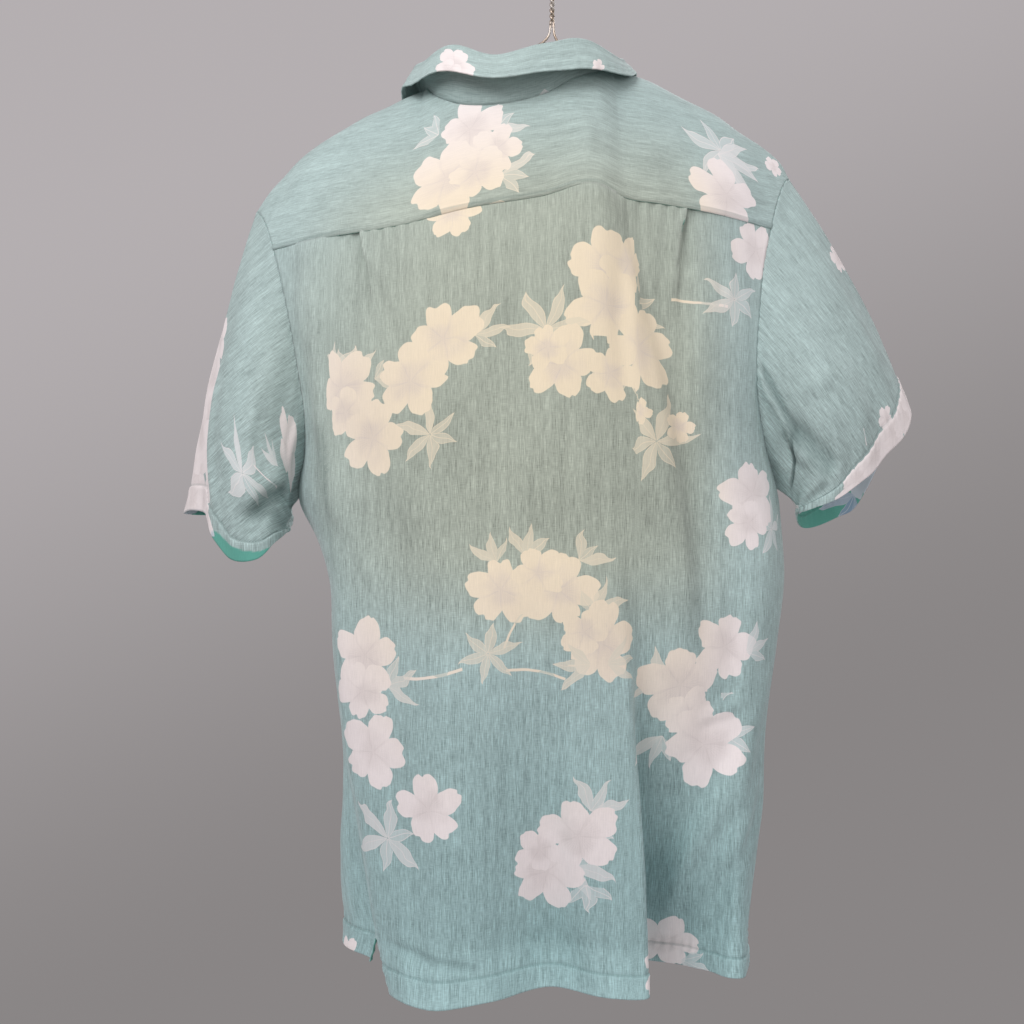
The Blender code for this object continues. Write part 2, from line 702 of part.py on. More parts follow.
def side_cut(v, hand, face):
    """Directions of the cut down the side edge of the back or a front: against the sleeve
    down to the underarm and against the other panel below it."""
    seam = side_edge(v, hand, "front")
    back_s = np.full(np.shape(v), NEAR if hand == "left" else 1 - NEAR)
    into_back = back_surface(back_s, v, False)
    into_front = front_surface(np.full(np.shape(v), NEAR), v, hand)
    below = mitre(np.gradient(seam, axis=0), into_back - seam, into_front - seam)
    above = armhole_cut(body_shares(v, face), hand)
    return np.where((v < UNDERARM + 1e-6)[..., None], above, below)


def relief(v):
    """How far a panel's side edge is drawn in: half the gap, and more at the underarm."""
    return SEAM_GAP / 2 + UNDERARM_GAP * np.exp(-((v - UNDERARM) / 0.05) ** 2)


def back_cut(x):
    """Directions of the cut along the seam between the yoke and the back."""
    along = np.gradient(back_seam(x), axis=0)
    return mitre(along, np.array([0, 8.0, 20.0]), np.array([0, -2.0, -20.0]))


def front_cut(share, hand):
    """Directions of the cut along the yoke's front seam."""
    along = np.gradient(front_seam(share, hand), axis=0)
    return mitre(along, np.array([0, -14.0, 10.0]), np.array([0, 8.0, -20.0]))


# ---- the pieces ---------------------------------------------------------------------
def make_back():
    """The back panel, with its columns close together at the pleats and the laps."""
    s = spread_out(((0, 3), (0.10, 3), (0.19, 7), (0.265, 7), (0.58, 16), (0.79, 7),
                    (0.87, 3), (1, 0)))
    v = body_levels()
    grid = back_surface(*np.meshgrid(s, v, indexing="ij"))
    sewn = v <= SLIT_TOP + 1e-6
    cuts = [(np.s_[0, sewn], side_cut(v, "left", "back")[sewn]),
            (np.s_[-1, sewn], side_cut(v, "right", "back")[sewn])]
    cloth_wall("back", trimmed(grid, relief(v), relief(v), SEAM_GAP, 0), cuts=cuts)


def make_fronts():
    """The two fronts."""
    neck_columns = int((180 + LAP_ANGLE - SEAM_ANGLE) / NECK_STEP)
    s = spread_out(((0, SHOULDER_COLUMNS), (NECK_CORNER, neck_columns), (1, 0)))
    v = body_levels()
    seam = s <= NECK_CORNER
    for hand in ("left", "right"):
        grid = front_surface(*np.meshgrid(s, v, indexing="ij"), hand)
        cuts = [(np.s_[seam, 0], front_cut(s[seam] / NECK_CORNER, hand)),
                (np.s_[0, :], side_cut(v, hand, "front"))]
        cloth_wall("front_" + hand, trimmed(grid, relief(v), 0, SEAM_GAP / 2, 0), cuts=cuts)


def make_yoke():
    """The yoke, over the shoulders and cut out for the neck."""
    shoulder = SHOULDER_COLUMNS
    neck_columns = int(180 / NECK_STEP)
    u = spread_out(((0, shoulder), (NECK_START, neck_columns), (NECK_END, shoulder), (1, 0)))
    v = yoke_levels()
    grid = yoke_surface(*np.meshgrid(u, v, indexing="ij"))
    keep = np.ones((len(u) - 1, len(v) - 1), bool)
    keep[shoulder:shoulder + neck_columns, v[:-1] >= 1] = False
    share = np.linspace(0, 1, shoulder + 1)
    ends = yoke_shares(v)
    cuts = [(np.s_[:, 0], back_cut(grid[:, 0, 0])),
            (np.s_[:shoulder + 1, -1], front_cut(share, "left")),
            (np.s_[-shoulder - 1:, -1], front_cut(share, "right")[::-1]),
            (np.s_[0, :], armhole_cut(ends, "left")),
            (np.s_[-1, :], armhole_cut(ends, "right"))]
    gap = SEAM_GAP / 2
    cloth_wall("yoke", trimmed(grid, gap, gap, gap, gap), keep, cuts=cuts)


def make_sleeves():
    """The two sleeves, each a tube open at both ends."""
    share = ring_shares()
    t = spread_out(((0, 8), (1, 0)))
    from_underarm = np.abs(share - 0.5) * UNDERARM / (0.5 - YOKE_END)
    for hand in ("left", "right"):
        grid = sleeve_surface(*np.meshgrid(share, t, indexing="ij"), hand)
        cuts = [(np.s_[:, 0], armhole_cut(share, hand))]
        drawn = relief(UNDERARM - from_underarm)
        cloth_wall("sleeve_" + hand, trimmed(grid, top=drawn), ring=True, cuts=cuts)


def make_collar():
    """The collar, one piece of cloth folded over."""
    angle = np.arange(-180, 181, NECK_STEP)
    angle[0], angle[-1] = -176, 176
    q = np.array([0, 0.2, 0.4, 0.47, 0.53, 0.6, 0.8, 1])
    grid = collar_surface(*np.meshgrid(angle, q, indexing="ij"))
    cloth_wall("collar", grid)


def disc_profile():
    """Half the outline of a button: a rim round a shallow dish, from the middle of its
    face to the middle of its back, as (radius, height)."""
    r = BUTTON_DIAMETER / 2
    h = BUTTON_THICKNESS / 2
    return ((0, h * 0.5), (r * 0.6, h * 0.5), (r * 0.78, h), (r * 0.95, h * 0.6),
            (r, 0), (r * 0.9, -h * 0.7), (r * 0.6, -h), (0, -h))


def make_button(name, centre, facing):
    """A button turned from its outline, lying square to the cloth at its place."""
    sides = 12
    facing = unit(np.array(facing, float))
    side_way = unit(np.cross(facing, (0.0, 0.0, 1.0)))
    up_way = np.cross(side_way, facing)
    rows = disc_profile()
    points = [centre + facing * rows[0][1]]
    for radius, height in rows[1:-1]:
        for k in range(sides):
            turn = 2 * math.pi * k / sides
            points.append(centre + facing * height
                          + radius * (math.cos(turn) * side_way + math.sin(turn) * up_way))
    points.append(centre + facing * rows[-1][1])
    last = len(points) - 1
    faces = []
    for k in range(sides):
        n = (k + 1) % sides
        faces.append((0, 1 + k, 1 + n))
        for row in range(len(rows) - 3):
            a, b = 1 + row * sides, 1 + (row + 1) * sides
            faces.append((a + k, b + k, b + n, a + n))
        edge = 1 + (len(rows) - 3) * sides
        faces.append((edge + k, last, edge + n))
    put_mesh(name, points, faces, "button")


def make_buttons():
    """Six buttons down the front edge of the left front, on its outside."""
    levels = (0.03, 0.17, 0.31, 0.45, 0.59, 0.73)
    for number, level in enumerate(levels, 1):
        v = np.full(2001, level)
        s = np.linspace(0.7, 1, 2001)
        line = front_surface(s, v, "left")
        edge_x = line[-1, 0]
        at = np.argmin(np.abs(line[:, 0] - (edge_x - PLACKET_LAP)))
        near = np.array([s[at] - 0.01, s[at] + 0.01, s[at], s[at]])
        above = np.array([level, level, level - 0.01, level + 0.01])
        patch = front_surface(near, above, "left")
        facing = unit(np.cross(patch[1] - patch[0], patch[3] - patch[2]))
        if facing[1] < 0:
            facing = -facing
        lift = CLOTH / 2 + SEAM_GAP + BUTTON_THICKNESS / 2
        make_button("button_%d" % number, line[at] + facing * lift, facing)


# ---- hanger -------------------------------------------------------------------------
def tube(name, path, sides):
    """Round wire along a path: rings square to it, closed at both ends."""
    path = np.asarray(path, float)
    along = unit(np.gradient(path, axis=0))
    side = np.array([0.0, 1.0, 0.0])
    rings = []
    for point, forward in zip(path, along):
        side = unit(side - forward * np.dot(side, forward))
        other = np.cross(forward, side)
        for k in range(sides):
            turn = 2 * math.pi * k / sides
            rings.append(point + WIRE / 2 * (math.cos(turn) * side + math.sin(turn) * other))
    faces = []
    for i in range(len(path) - 1):
        for k in range(sides):
            n = (k + 1) % sides
            faces.append((i * sides + k, i * sides + n, (i + 1) * sides + n, (i + 1) * sides + k))
    faces.append(tuple(reversed(range(sides))))
    faces.append(tuple(range((len(path) - 1) * sides, len(path) * sides)))
    put_mesh(name, rings, faces, "wire")


def twist(start_turn):
    """One of the two wires wound round each other, from the top of the twist down."""
    z = np.linspace(TWIST_TOP, TWIST_BOTTOM, 37)
    radius = (WIRE + SEAM_GAP) / 2 + 0.02
    turn = start_turn + TWIST_TURNS * 2 * math.pi * (z - TWIST_TOP) / (TWIST_BOTTOM - TWIST_TOP)
    return np.stack([radius * np.cos(turn), radius * np.sin(turn), z], -1)


def arm_path(table, points):
    """A hanger arm's curve, by the length along its rows."""
    rows = pick(table, "x", "z")
    length = np.concatenate([[0], np.cumsum(np.linalg.norm(np.diff(rows, axis=0), axis=1))])
    xz = smooth(length, rows, length[-1] * np.linspace(0, 1, points) ** 1.6)
    return np.stack([xz[:, 0], np.zeros(points), xz[:, 1]], -1)


def arm_end(table, sign):
    """The bend at an arm's end, from the arm's slope round to the bar."""
    rows = pick(table, "x", "z")
    last, before = rows[-1], rows[-2]
    slope = math.atan2(before[1] - last[1], abs(last[0] - before[0]))
    straight = abs(BAR_Z - last[1])
    radius = straight / (1 + math.cos(slope))
    turn = np.linspace(math.pi / 2 - slope, -math.pi / 2, 9)[1:]
    x = last[0] + sign * radius * (np.cos(turn) - math.sin(slope))
    z = last[1] - radius * math.cos(slope) + radius * np.sin(turn)
    return np.stack([x, np.zeros(len(x)), z], -1)


def make_hanger():
    """The hanger: the hook with one wire of the twist, the left arm that carries it on, the
    right arm with the other wire of the twist, and the bar between the arms' ends."""
    middle = -HOOK_RADIUS
    centre_radius = HOOK_RADIUS + WIRE / 2
    turn = np.linspace(math.radians(200), math.radians(-62), 26)
    bow = np.stack([centre_radius * np.cos(turn), np.zeros(26),
                    middle + centre_radius * np.sin(turn)], -1)
    lead = twist(math.pi)
    straight = lead[-1] + np.array([[0, 0, -1.5], [0, 0, -2.5]])
    down = np.array([[4.6, 0, TWIST_TOP + 1.6]])
    tube("hanger_hook", np.concatenate([bow, down, lead[2:], straight]), 6)

    left = arm_path(LEFT_ARM, 20)
    start = straight[-1] + np.array([[0, 0, -SEAM_GAP], [0, 0, -1.5 - SEAM_GAP]])
    left_bend = arm_end(LEFT_ARM, -1)
    tube("hanger_left_arm", np.concatenate([start, left[1:], left_bend]), 6)

    right = arm_path(RIGHT_ARM, 20)
    right_bend = arm_end(RIGHT_ARM, 1)
    other = twist(0.0)[3:]
    straight = other[-1] + np.array([[0, 0, -1.5]])
    right_path = np.concatenate([other, straight, right[1:], right_bend])
    tube("hanger_right_arm", right_path, 6)

    gap = np.array([SEAM_GAP, 0, 0])
    tube("hanger_bar", np.linspace(left_bend[-1] + gap, right_bend[-1] - gap, 9), 6)


def main():
    """Clears the file and makes every piece."""
    for old in list(bpy.data.objects):
        bpy.data.objects.remove(old, do_unlink=True)
    make_back()
    make_yoke()
    make_fronts()
    make_sleeves()
    make_collar()
    make_buttons()
    make_hanger()


main()
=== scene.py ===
"""Dressing of a Hawaiian shirt that hangs on a twisted-wire hanger, seen from behind.

Every cloth piece is a surface worked out with numpy: a function of two parameters on a grid
gives its middle, small folds are added along its normals, and two skins make it a thin
shell with turned hems.  The print is drawn by the material: every face carries the places
of the flowers, leaves and stems that cross it.

Sizes in the tables are millimetres; put_shell and put_mesh turn them into metres.
+Z is up, +X is to the wearer's right and the back of the shirt faces -Y.  The origin is the
inside top of the hanger's hook.
"""
import functools
import math

import bpy
import numpy as np
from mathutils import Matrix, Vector


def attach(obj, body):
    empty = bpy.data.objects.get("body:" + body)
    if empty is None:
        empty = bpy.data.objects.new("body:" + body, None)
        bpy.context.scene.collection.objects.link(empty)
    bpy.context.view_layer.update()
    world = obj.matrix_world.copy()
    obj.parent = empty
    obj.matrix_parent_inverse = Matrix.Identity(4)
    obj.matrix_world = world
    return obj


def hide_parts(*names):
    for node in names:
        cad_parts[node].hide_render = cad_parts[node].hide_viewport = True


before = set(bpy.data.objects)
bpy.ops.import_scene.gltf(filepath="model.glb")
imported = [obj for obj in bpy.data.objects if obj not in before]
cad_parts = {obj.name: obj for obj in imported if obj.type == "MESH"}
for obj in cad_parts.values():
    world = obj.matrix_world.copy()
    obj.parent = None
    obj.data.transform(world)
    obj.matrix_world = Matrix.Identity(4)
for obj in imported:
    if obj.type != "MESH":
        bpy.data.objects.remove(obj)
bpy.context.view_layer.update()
MM = 0.001

# ---- driving dimensions -------------------------------------------------------------
CLOTH = 1.0                 # thickness of the cloth wall
SEAM_GAP = 0.3              # gap left between two pieces at a seam
UNDERARM = 0.345            # level of the underarm
SLIT_TOP = 0.945            # level where the side seam ends and the slit starts
NECK_X = -29.0              # middle of the neck: the shirt hangs a little to the left
NECK_HALF_WIDTH = 80.0
NECK_BACK = 56.0            # the neckline's depth behind and in front of the hanger
NECK_FRONT = 62.0
SEAM_ANGLE = 120.0          # where the yoke's front seam meets the neckline
LAP_ANGLE = 10.0            # how far each front passes the middle, round the neck
PLACKET_LAP = NECK_HALF_WIDTH * math.sin(math.radians(LAP_ANGLE))
PLACKET_STEP = 1.6          # the left front lies this far outside the right one
NECK_CORNER = 0.56          # share of a front's width where its neckline starts
FLAT_FROM = 0.86            # and where it is level with the front edge
NECK_START = 0.36           # shares of the yoke's width between which the neckline runs
NECK_END = 0.66
YOKE_END = 0.09             # share of the armhole that is the yoke, from the crown each way
COLLAR_FOLD = 2.2           # radius of the collar's fold
BUTTON_DIAMETER = 11.5
BUTTON_THICKNESS = 2.6
WIRE = 2.2                  # diameter of the hanger's wire
HOOK_RADIUS = 21.0          # inside radius of the hook

# ---- the garment's edges ------------------------------------------------------------
# Edges of the back from the yoke seam to the underarm: left and right points.
BACK_ARMHOLE = (
    ("place", "v", "left_x", "left_y", "left_z", "right_x", "right_y", "right_z"),
    ("yoke corner", 0.000, -238, -25, -288, 186, -25, -270),
    ("upper", 0.055, -229, -34, -321, 178, -34, -305),
    ("middle", 0.115, -221, -38, -357, 173, -40, -346),
    ("lower", 0.175, -215, -36, -394, 171, -39, -386),
    ("turn", 0.230, -211, -29, -427, 174, -32, -422),
    ("low turn", 0.285, -213, -12, -461, 183, -17, -458),
    ("underarm", 0.345, -222, 12, -500, 196, 4, -492),
)
# Edges of the fronts over the same levels.
FRONT_ARMHOLE = (
    ("place", "v", "left_x", "left_y", "left_z", "right_x", "right_y", "right_z"),
    ("yoke corner", 0.000, -247, 18, -272, 197, 16, -246),
    ("upper", 0.055, -236, 30, -307, 187, 28, -287),
    ("middle", 0.115, -226, 41, -347, 178, 39, -334),
    ("lower", 0.175, -219, 46, -386, 174, 43, -379),
    ("turn", 0.230, -215, 43, -424, 177, 37, -418),
    ("low turn", 0.285, -216, 30, -461, 185, 23, -456),
    ("underarm", 0.345, -222, 12, -500, 196, 4, -492),
)
# The side seams from the underarm to the hem.
SIDE_SEAM = (
    ("place", "v", "left_x", "left_y", "left_z", "right_x", "right_y", "right_z"),
    ("under sleeve", 0.400, -205, 8, -536, 200, 3, -529),
    ("ribs", 0.455, -193, 0, -570, 202, 2, -565),
    ("waist", 0.550, -190, -2, -628, 196, 3, -625),
    ("hip", 0.670, -182, -2, -702, 186, 4, -700),
    ("low hip", 0.780, -170, -6, -770, 183, 5, -769),
    ("above slit", 0.900, -157, -10, -843, 173, 5, -842),
    ("slit", 0.945, -151, -12, -871, 170, 6, -870),
    ("hem", 1.000, -147, -14, -905, 169, 8, -904),
)
# The yoke's seam across the back.
BACK_SEAM = (
    ("x", "y", "z"),
    (-238, -25, -288),
    (-194, -47, -283),
    (-123, -66, -275),
    (-70, -76, -264),
    (-11, -83, -256),
    (34, -92, -249),
    (57, -81, -257),
    (87, -73, -260),
    (130, -58, -264),
    (186, -25, -270),
)
# The shoulder's ridge, which lies on the hanger's arms, from the sleeve to the neck.
RIDGE = (
    ("place", "share", "left_x", "left_z", "right_x", "right_z"),
    ("sleeve", 0.00, -257, -252, 206, -223),
    ("droop", 0.14, -238, -227, 197, -208),
    ("arm's end", 0.30, -214, -200, 181, -193),
    ("past the end", 0.46, -190, -186, 160, -180),
    ("middle", 0.66, -160, -169, 129, -161),
    ("near the neck", 0.86, -129, -154, 80, -138),
    ("neck", 1.00, -109, -146, 51, -127),
)
# The yoke's seams in front, from the sleeve to the neck.
FRONT_SEAM = (
    ("place", "share", "left_x", "left_y", "left_z", "right_x", "right_y", "right_z"),
    ("sleeve", 0.00, -247, 18, -272, 197, 16, -246),
    ("droop", 0.16, -228, 26, -243, 187, 24, -228),
    ("arm's end", 0.34, -200, 31, -219, 165, 30, -208),
    ("middle", 0.66, -150, 32, -190, 107, 32, -178),
    ("neck", 1.00, -98.3, 31.0, -170, 40.3, 31.0, -152),
)
# Height of the neckline by the angle round the neck: 0 at the back, 180 in front.
NECKLINE = (
    ("angle", "z"),
    (-196, -230),
    (-180, -233),
    (-150, -212),
    (-120, -170),
    (-90, -146),
    (-57, -162),
    (-36, -172),
    (0, -172),
    (19, -163),
    (32, -152),
    (54, -141),
    (70, -134),
    (90, -127),
    (120, -152),
    (150, -205),
    (180, -233),
    (196, -230),
)
# The collar's profile by the same angle: it starts above the neckline by the seat, the
# stand rises and leans out, then the fall drops and spreads.
COLLAR = (
    ("place", "angle", "seat", "rise", "lean", "drop", "spread"),
    ("left point", -176, 1.8, 17, 2, 56, 25),
    ("left front", -135, 1.9, 14, 5, 38, 26),
    ("left side", -95, 1.6, 10, 7, 15, 15),
    ("left shoulder", -68, 1.2, 22, 6, 19, 14),
    ("left peak", -40, 1.0, 44, 5, 22, 14),
    ("dip", -12, 1.0, 35, 5, 21, 16),
    ("right of the dip", 12, 1.0, 37, 5, 25, 16),
    ("right peak", 38, 1.0, 26, 5, 26, 16),
    ("right shoulder", 66, 1.2, 7, 7, 16, 15),
    ("right side", 95, 1.6, 3, 8, 10, 15),
    ("right front", 135, 1.9, 14, 5, 38, 26),
    ("right point", 176, 1.8, 17, 2, 56, 25),
)
# How far the cloth stands out from the line between its edges, and where the fronts meet.
BODY = (
    ("v", "back_bulge", "front_y", "front_x", "roundness"),
    (0.000, 56, 66, -26, 0.30),
    (0.115, 54, 73, -22, 0.45),
    (0.175, 59, 76, -20, 0.55),
    (0.230, 68, 78, -18, 0.65),
    (0.285, 85, 80, -16, 0.80),
    (0.345, 108, 82, -14, 0.90),
    (0.400, 105, 83, -13, 0.95),
    (0.600, 98, 84, -10, 1.00),
    (0.800, 81, 80, -8, 1.00),
    (1.000, 56, 78, -6, 1.00),
)

# ---- folds --------------------------------------------------------------------------
# A lap is a place where the cloth steps back (step), by level; where overlap is more than
# half, its nearer side hangs in front of its farther one.  reach is how far the step lasts.
LONG_FOLD = (
    ("v", "x", "step", "overlap", "half", "reach"),
    (0.00, 50, 3, 0, 9, 50),
    (0.25, 92, 14, 2, 12, 60),
    (0.45, 112, 14, 2, 13, 60),
    (0.60, 117, 6, 0, 14, 60),
    (0.75, 118, 0, 0, 14, 60),
)
HEM_LAP = (
    ("v", "x", "step", "overlap", "half", "reach"),
    (0.34, 50, 0, 0, 14, 40),
    (0.54, 62, 16, 3, 14, 45),
    (0.69, 66, 36, 11, 13, 50),
    (0.83, 64, 62, 19, 12, 55),
    (1.00, 62, 92, 26, 12, 60),
)
LEFT_PLEAT = (
    ("v", "x", "step", "overlap", "half", "reach"),
    (0.00, -158, -4.0, 6.0, 3.5, 26),
    (0.07, -152, -3.5, 3.0, 4.5, 26),
    (0.15, -145, 0, 0, 6, 26),
)
RIGHT_PLEAT = (
    ("v", "x", "step", "overlap", "half", "reach"),
    (0.00, 106, 4.0, 6.0, 3.5, 26),
    (0.07, 103, 3.5, 3.0, 4.5, 26),
    (0.15, 99, 0, 0, 6, 26),
)
BACK_LAPS = (LONG_FOLD, HEM_LAP, LEFT_PLEAT, RIGHT_PLEAT)

# A soft ridge stands towards the viewer of its side; a negative depth is a hollow.
BACK_RIDGES = (
    ("name", "x_top", "x_middle", "x_hem", "top", "middle", "hem", "half"),
    ("left swell", -95, -95, -100, 0, 4, 20, 34),
    ("middle hollow", -10, -8, -4, 0, 0, -32, 34),
    ("swell by the lap", 40, 30, 48, 4, 0, 16, 22),
    ("right swell", 150, 160, 157, 0, 0, 22, 14),
    ("left edge fold", -205, -188, -160, 6, 12, 0, 16),
)
FRONT_RIDGES = (
    ("name", "x_top", "x_middle", "x_hem", "top", "middle", "hem", "half"),
    ("left outer", -190, -150, -140, 0, 12, 20, 24),
    ("left inner", -90, -80, -72, 0, 8, 16, 26),
    ("left hollow", -130, -116, -105, 0, -8, -16, 22),
    ("right inner", 60, 62, 66, 0, 8, 18, 26),
    ("right hollow", 96, 100, 104, 0, -8, -14, 20),
    ("right outer", 150, 142, 138, 0, 10, 18, 22),
)
# Below the hip the left front turns round the side before it goes forward.
SIDE_WRAP = (
    ("v", "out"),
    (0.60, 0),
    (0.72, 18),
    (0.86, 40),
    (0.945, 48),
    (1.00, 43),
)
# The corners at the slits, moved from the side seam's end.
SLIT_OPEN = (
    ("corner", "x", "y", "z"),
    ("left back", 12, -26, -8),
    ("right back", 2, -5, 0),
    ("left front", -9, 0, 6),
    ("right front", 0, 0, 0),
)

# ---- sleeves: where each lengthwise line of a sleeve ends at the hem ------------------
LEFT_SLEEVE = (
    ("line", "share", "x", "y", "z", "puff_x", "puff_y"),
    ("crown", 0.00, -300, 2, -514, -14, 0),
    ("back crease", 0.09, -288, -25, -533, -16, -8),
    ("back outer", 0.20, -272, -36, -552, -10, -14),
    ("back inner", 0.30, -250, -38, -552, -10, -4),
    ("inner", 0.40, -237, -30, -539, -8, 0),
    ("underarm", 0.50, -230, -4, -530, -4, 0),
    ("front inner", 0.60, -232, 33, -524, -6, 2),
    ("front", 0.71, -254, 68, -519, -6, 14),
    ("front outer", 0.82, -300, 87, -516, -8, 12),
    ("front corner", 0.91, -337, 72, -514, -10, 6),
    ("front crease", 0.96, -319, 36, -511, -14, 4),
)
RIGHT_SLEEVE = (
    ("line", "share", "x", "y", "z", "puff_x", "puff_y"),
    ("crown", 0.00, 317, 26, -412, 6, -4),
    ("back crease", 0.10, 309, 0, -443, 6, -14),
    ("back outer", 0.20, 286, -14, -463, 6, -20),
    ("back", 0.30, 268, -24, -481, 4, -18),
    ("back inner", 0.40, 243, -30, -500, 6, -4),
    ("inner", 0.46, 219, -20, -511, 5, 0),
    ("underarm", 0.52, 215, 6, -513, 4, 0),
    ("front inner", 0.60, 229, 33, -526, 6, 2),
    ("front", 0.70, 262, 54, -517, 4, 12),
    ("front outer", 0.80, 284, 64, -504, 6, 14),
    ("front crease", 0.90, 306, 62, -458, 8, 10),
)

# ---- hanger -------------------------------------------------------------------------
TWIST_TOP = -46.0           # the two wires wind round each other between these heights
TWIST_BOTTOM = -86.0
TWIST_TURNS = 4.0
LEFT_ARM = (
    ("x", "z"),
    (-1.3, -90),
    (-3, -98),
    (-8, -104),
    (-20, -109),
    (-51, -120.5),
    (-109, -148.6),
    (-160, -171.9),
    (-190, -189.3),
    (-205, -198.6),
)
RIGHT_ARM = (
    ("x", "z"),
    (1.3, -90),
    (2.4, -98),
    (7, -106),
    (20, -113.5),
    (51, -129.9),
    (129, -164.2),
    (160, -182.9),
    (172, -190.9),
)
BAR_Z = -218.0              # height of the bar

# ---- reading the tables -------------------------------------------------------------
def pick(table, *names):
    """The named columns of a table as an array, a row for each of its rows."""
    head = table[0]
    return np.array([[row[head.index(name)] for name in names] for row in table[1:]], float)


def smooth(knots, values, at):
    """A curve through the rows: cubic between them, its slope at a row is that of the
    parabola through its neighbours, and it stays at the end rows beyond them."""
    knots = np.asarray(knots, float)
    values = np.asarray(values, float)
    at = np.clip(np.asarray(at, float), knots[0], knots[-1])
    slope = np.gradient(values, knots, axis=0)
    row = np.clip(np.searchsorted(knots, at, side="right") - 1, 0, len(knots) - 2)
    span = knots[row + 1] - knots[row]
    t = (at - knots[row]) / span
    if values.ndim > 1:
        t = t[..., None]
        span = span[..., None]
    start, end = values[row], values[row + 1]
    rise = start + (end - start) * t * t * (3 - 2 * t)
    return rise + span * t * (1 - t) * (slope[row] * (1 - t) - slope[row + 1] * t)


def from_table(table, knot, names, at):
    """The named columns, read at places on the knot column."""
    return smooth(pick(table, knot)[:, 0], pick(table, *names), at)


def unit(vectors):
    """The vectors at length one."""
    length = np.linalg.norm(vectors, axis=-1, keepdims=True)
    return vectors / np.maximum(length, 1e-9)


# ---- the garment's edges ------------------------------------------------------------
def side_edge(v, hand, face):
    """The side of the body at level v: down the armhole, then down the side seam."""
    names = [hand + "_x", hand + "_y", hand + "_z"]
    armhole = BACK_ARMHOLE if face == "back" else FRONT_ARMHOLE
    table = armhole + SIDE_SEAM[1:]
    point = from_table(table, "v", names, v)
    corners = {row[0]: np.array(row[1:]) for row in SLIT_OPEN[1:]}
    open_share = np.clip((v - SLIT_TOP) / (1 - SLIT_TOP), 0, 1) ** 1.3
    return point + corners[hand + " " + face] * open_share[..., None]


def neck(angle):
    """The neckline: an oval seen from above, by the angle in degrees from the back."""
    turn = np.radians(angle)
    x = NECK_X + NECK_HALF_WIDTH * np.sin(turn)
    depth = np.where(np.cos(turn) > 0, NECK_BACK, NECK_FRONT)
    y = -depth * np.cos(turn)
    z = from_table(NECKLINE, "angle", ["z"], angle)[..., 0]
    return np.stack([x, y, z], -1)


def ridge(share, hand):
    """The shoulder's ridge, from the sleeve (0) to the neck (1)."""
    xz = from_table(RIDGE, "share", [hand + "_x", hand + "_z"], share)
    return np.stack([xz[..., 0], np.zeros(np.shape(share)), xz[..., 1]], -1)


def front_seam(share, hand):
    """The yoke's front seam, from the sleeve (0) to the neck (1)."""
    return from_table(FRONT_SEAM, "share", [hand + "_x", hand + "_y", hand + "_z"], share)


def back_seam(x):
    """The yoke's seam across the back, by x."""
    yz = from_table(BACK_SEAM, "x", ["y", "z"], x)
    return np.stack([x, yz[..., 0], yz[..., 1]], -1)


# ---- folds --------------------------------------------------------------------------
def ridges(table, x, v):
    """How far the soft ridges stand out at x: each is a bell across the cloth whose middle
    and depth change smoothly from the yoke seam to the hem."""
    out = np.zeros(np.shape(x))
    levels = (0.0, 0.5, 1.0)
    for _, x_top, x_middle, x_hem, top, middle, hem, half in table[1:]:
        centre = smooth(levels, (x_top, x_middle, x_hem), v)
        depth = smooth(levels, (top, middle, hem), v)
        out += depth * np.exp(-((x - centre) / half) ** 2)
    return out


def lap(table, x, v):
    """A lap's push: the cloth runs on past the fold and back again under it (the slope of
    a bell) while it steps back (a soft stair) and slowly returns (a wide bell)."""
    row = from_table(table, "v", ["x", "step", "overlap", "half", "reach"], v)
    centre, step, overlap, half, reach = np.moveaxis(row, -1, 0)
    q = (x - centre) / half
    facing = np.where(step < 0, -1.0, 1.0)
    sideways = -overlap * 1.65 * q * np.exp(-q * q / 2)
    stair = 0.5 * (1 + np.tanh(1.4 * q * facing))
    fade = np.exp(-np.clip((x - centre) * facing / reach, 0, None) ** 2)
    return sideways, np.abs(step) * stair * fade


# ---- middle surfaces of the pieces ----------------------------------------------------
def back_surface(s, v, folded=True):
    """The back: s runs from the left side (0) to the right (1), v from the yoke seam to the
    hem.  Its points run across from edge to edge, stand out by the bulge, follow the seam
    at the top, and are pushed by the laps and the ridges."""
    def unfolded(level):
        left = side_edge(level, "left", "back")
        right = side_edge(level, "right", "back")
        bulge, roundness = np.moveaxis(
            from_table(BODY, "v", ["back_bulge", "roundness"], level), -1, 0)
        across = s + roundness * ((1 - np.cos(np.pi * s)) / 2 - s)
        point = left + (right - left) * across[..., None]
        point[..., 1] -= bulge * np.sin(np.pi * s)
        return point

    point = unfolded(v)
    top = unfolded(np.zeros(np.shape(v)))
    fade = np.clip(1 - v / 0.55, 0, 1) ** 2
    point += (back_seam(top[..., 0]) - top) * fade[..., None]
    if folded:
        inside = np.clip(np.sin(np.pi * s) * 4, 0, 1)
        base_x = point[..., 0].copy()
        point[..., 1] -= ridges(BACK_RIDGES, base_x, v) * inside
        for table in BACK_LAPS:
            sideways, back_off = lap(table, base_x, v)
            point[..., 0] += sideways * inside
            point[..., 1] += back_off * inside
        climb = back_seam(point[..., 0])[..., 2] - back_seam(base_x)[..., 2]
        point[..., 2] += climb * fade
    return point


def front_top(s, hand):
    """The top edge of a front: along the yoke's front seam, then down the neckline."""
    sign = -1 if hand == "left" else 1
    seam = front_seam(np.clip(s / NECK_CORNER, 0, 1), hand)
    share = np.clip((s - NECK_CORNER) / (1 - NECK_CORNER), 0, 1)
    angle = SEAM_ANGLE + (180 + LAP_ANGLE - SEAM_ANGLE) * share
    return np.where((s < NECK_CORNER)[..., None], seam, neck(sign * angle))


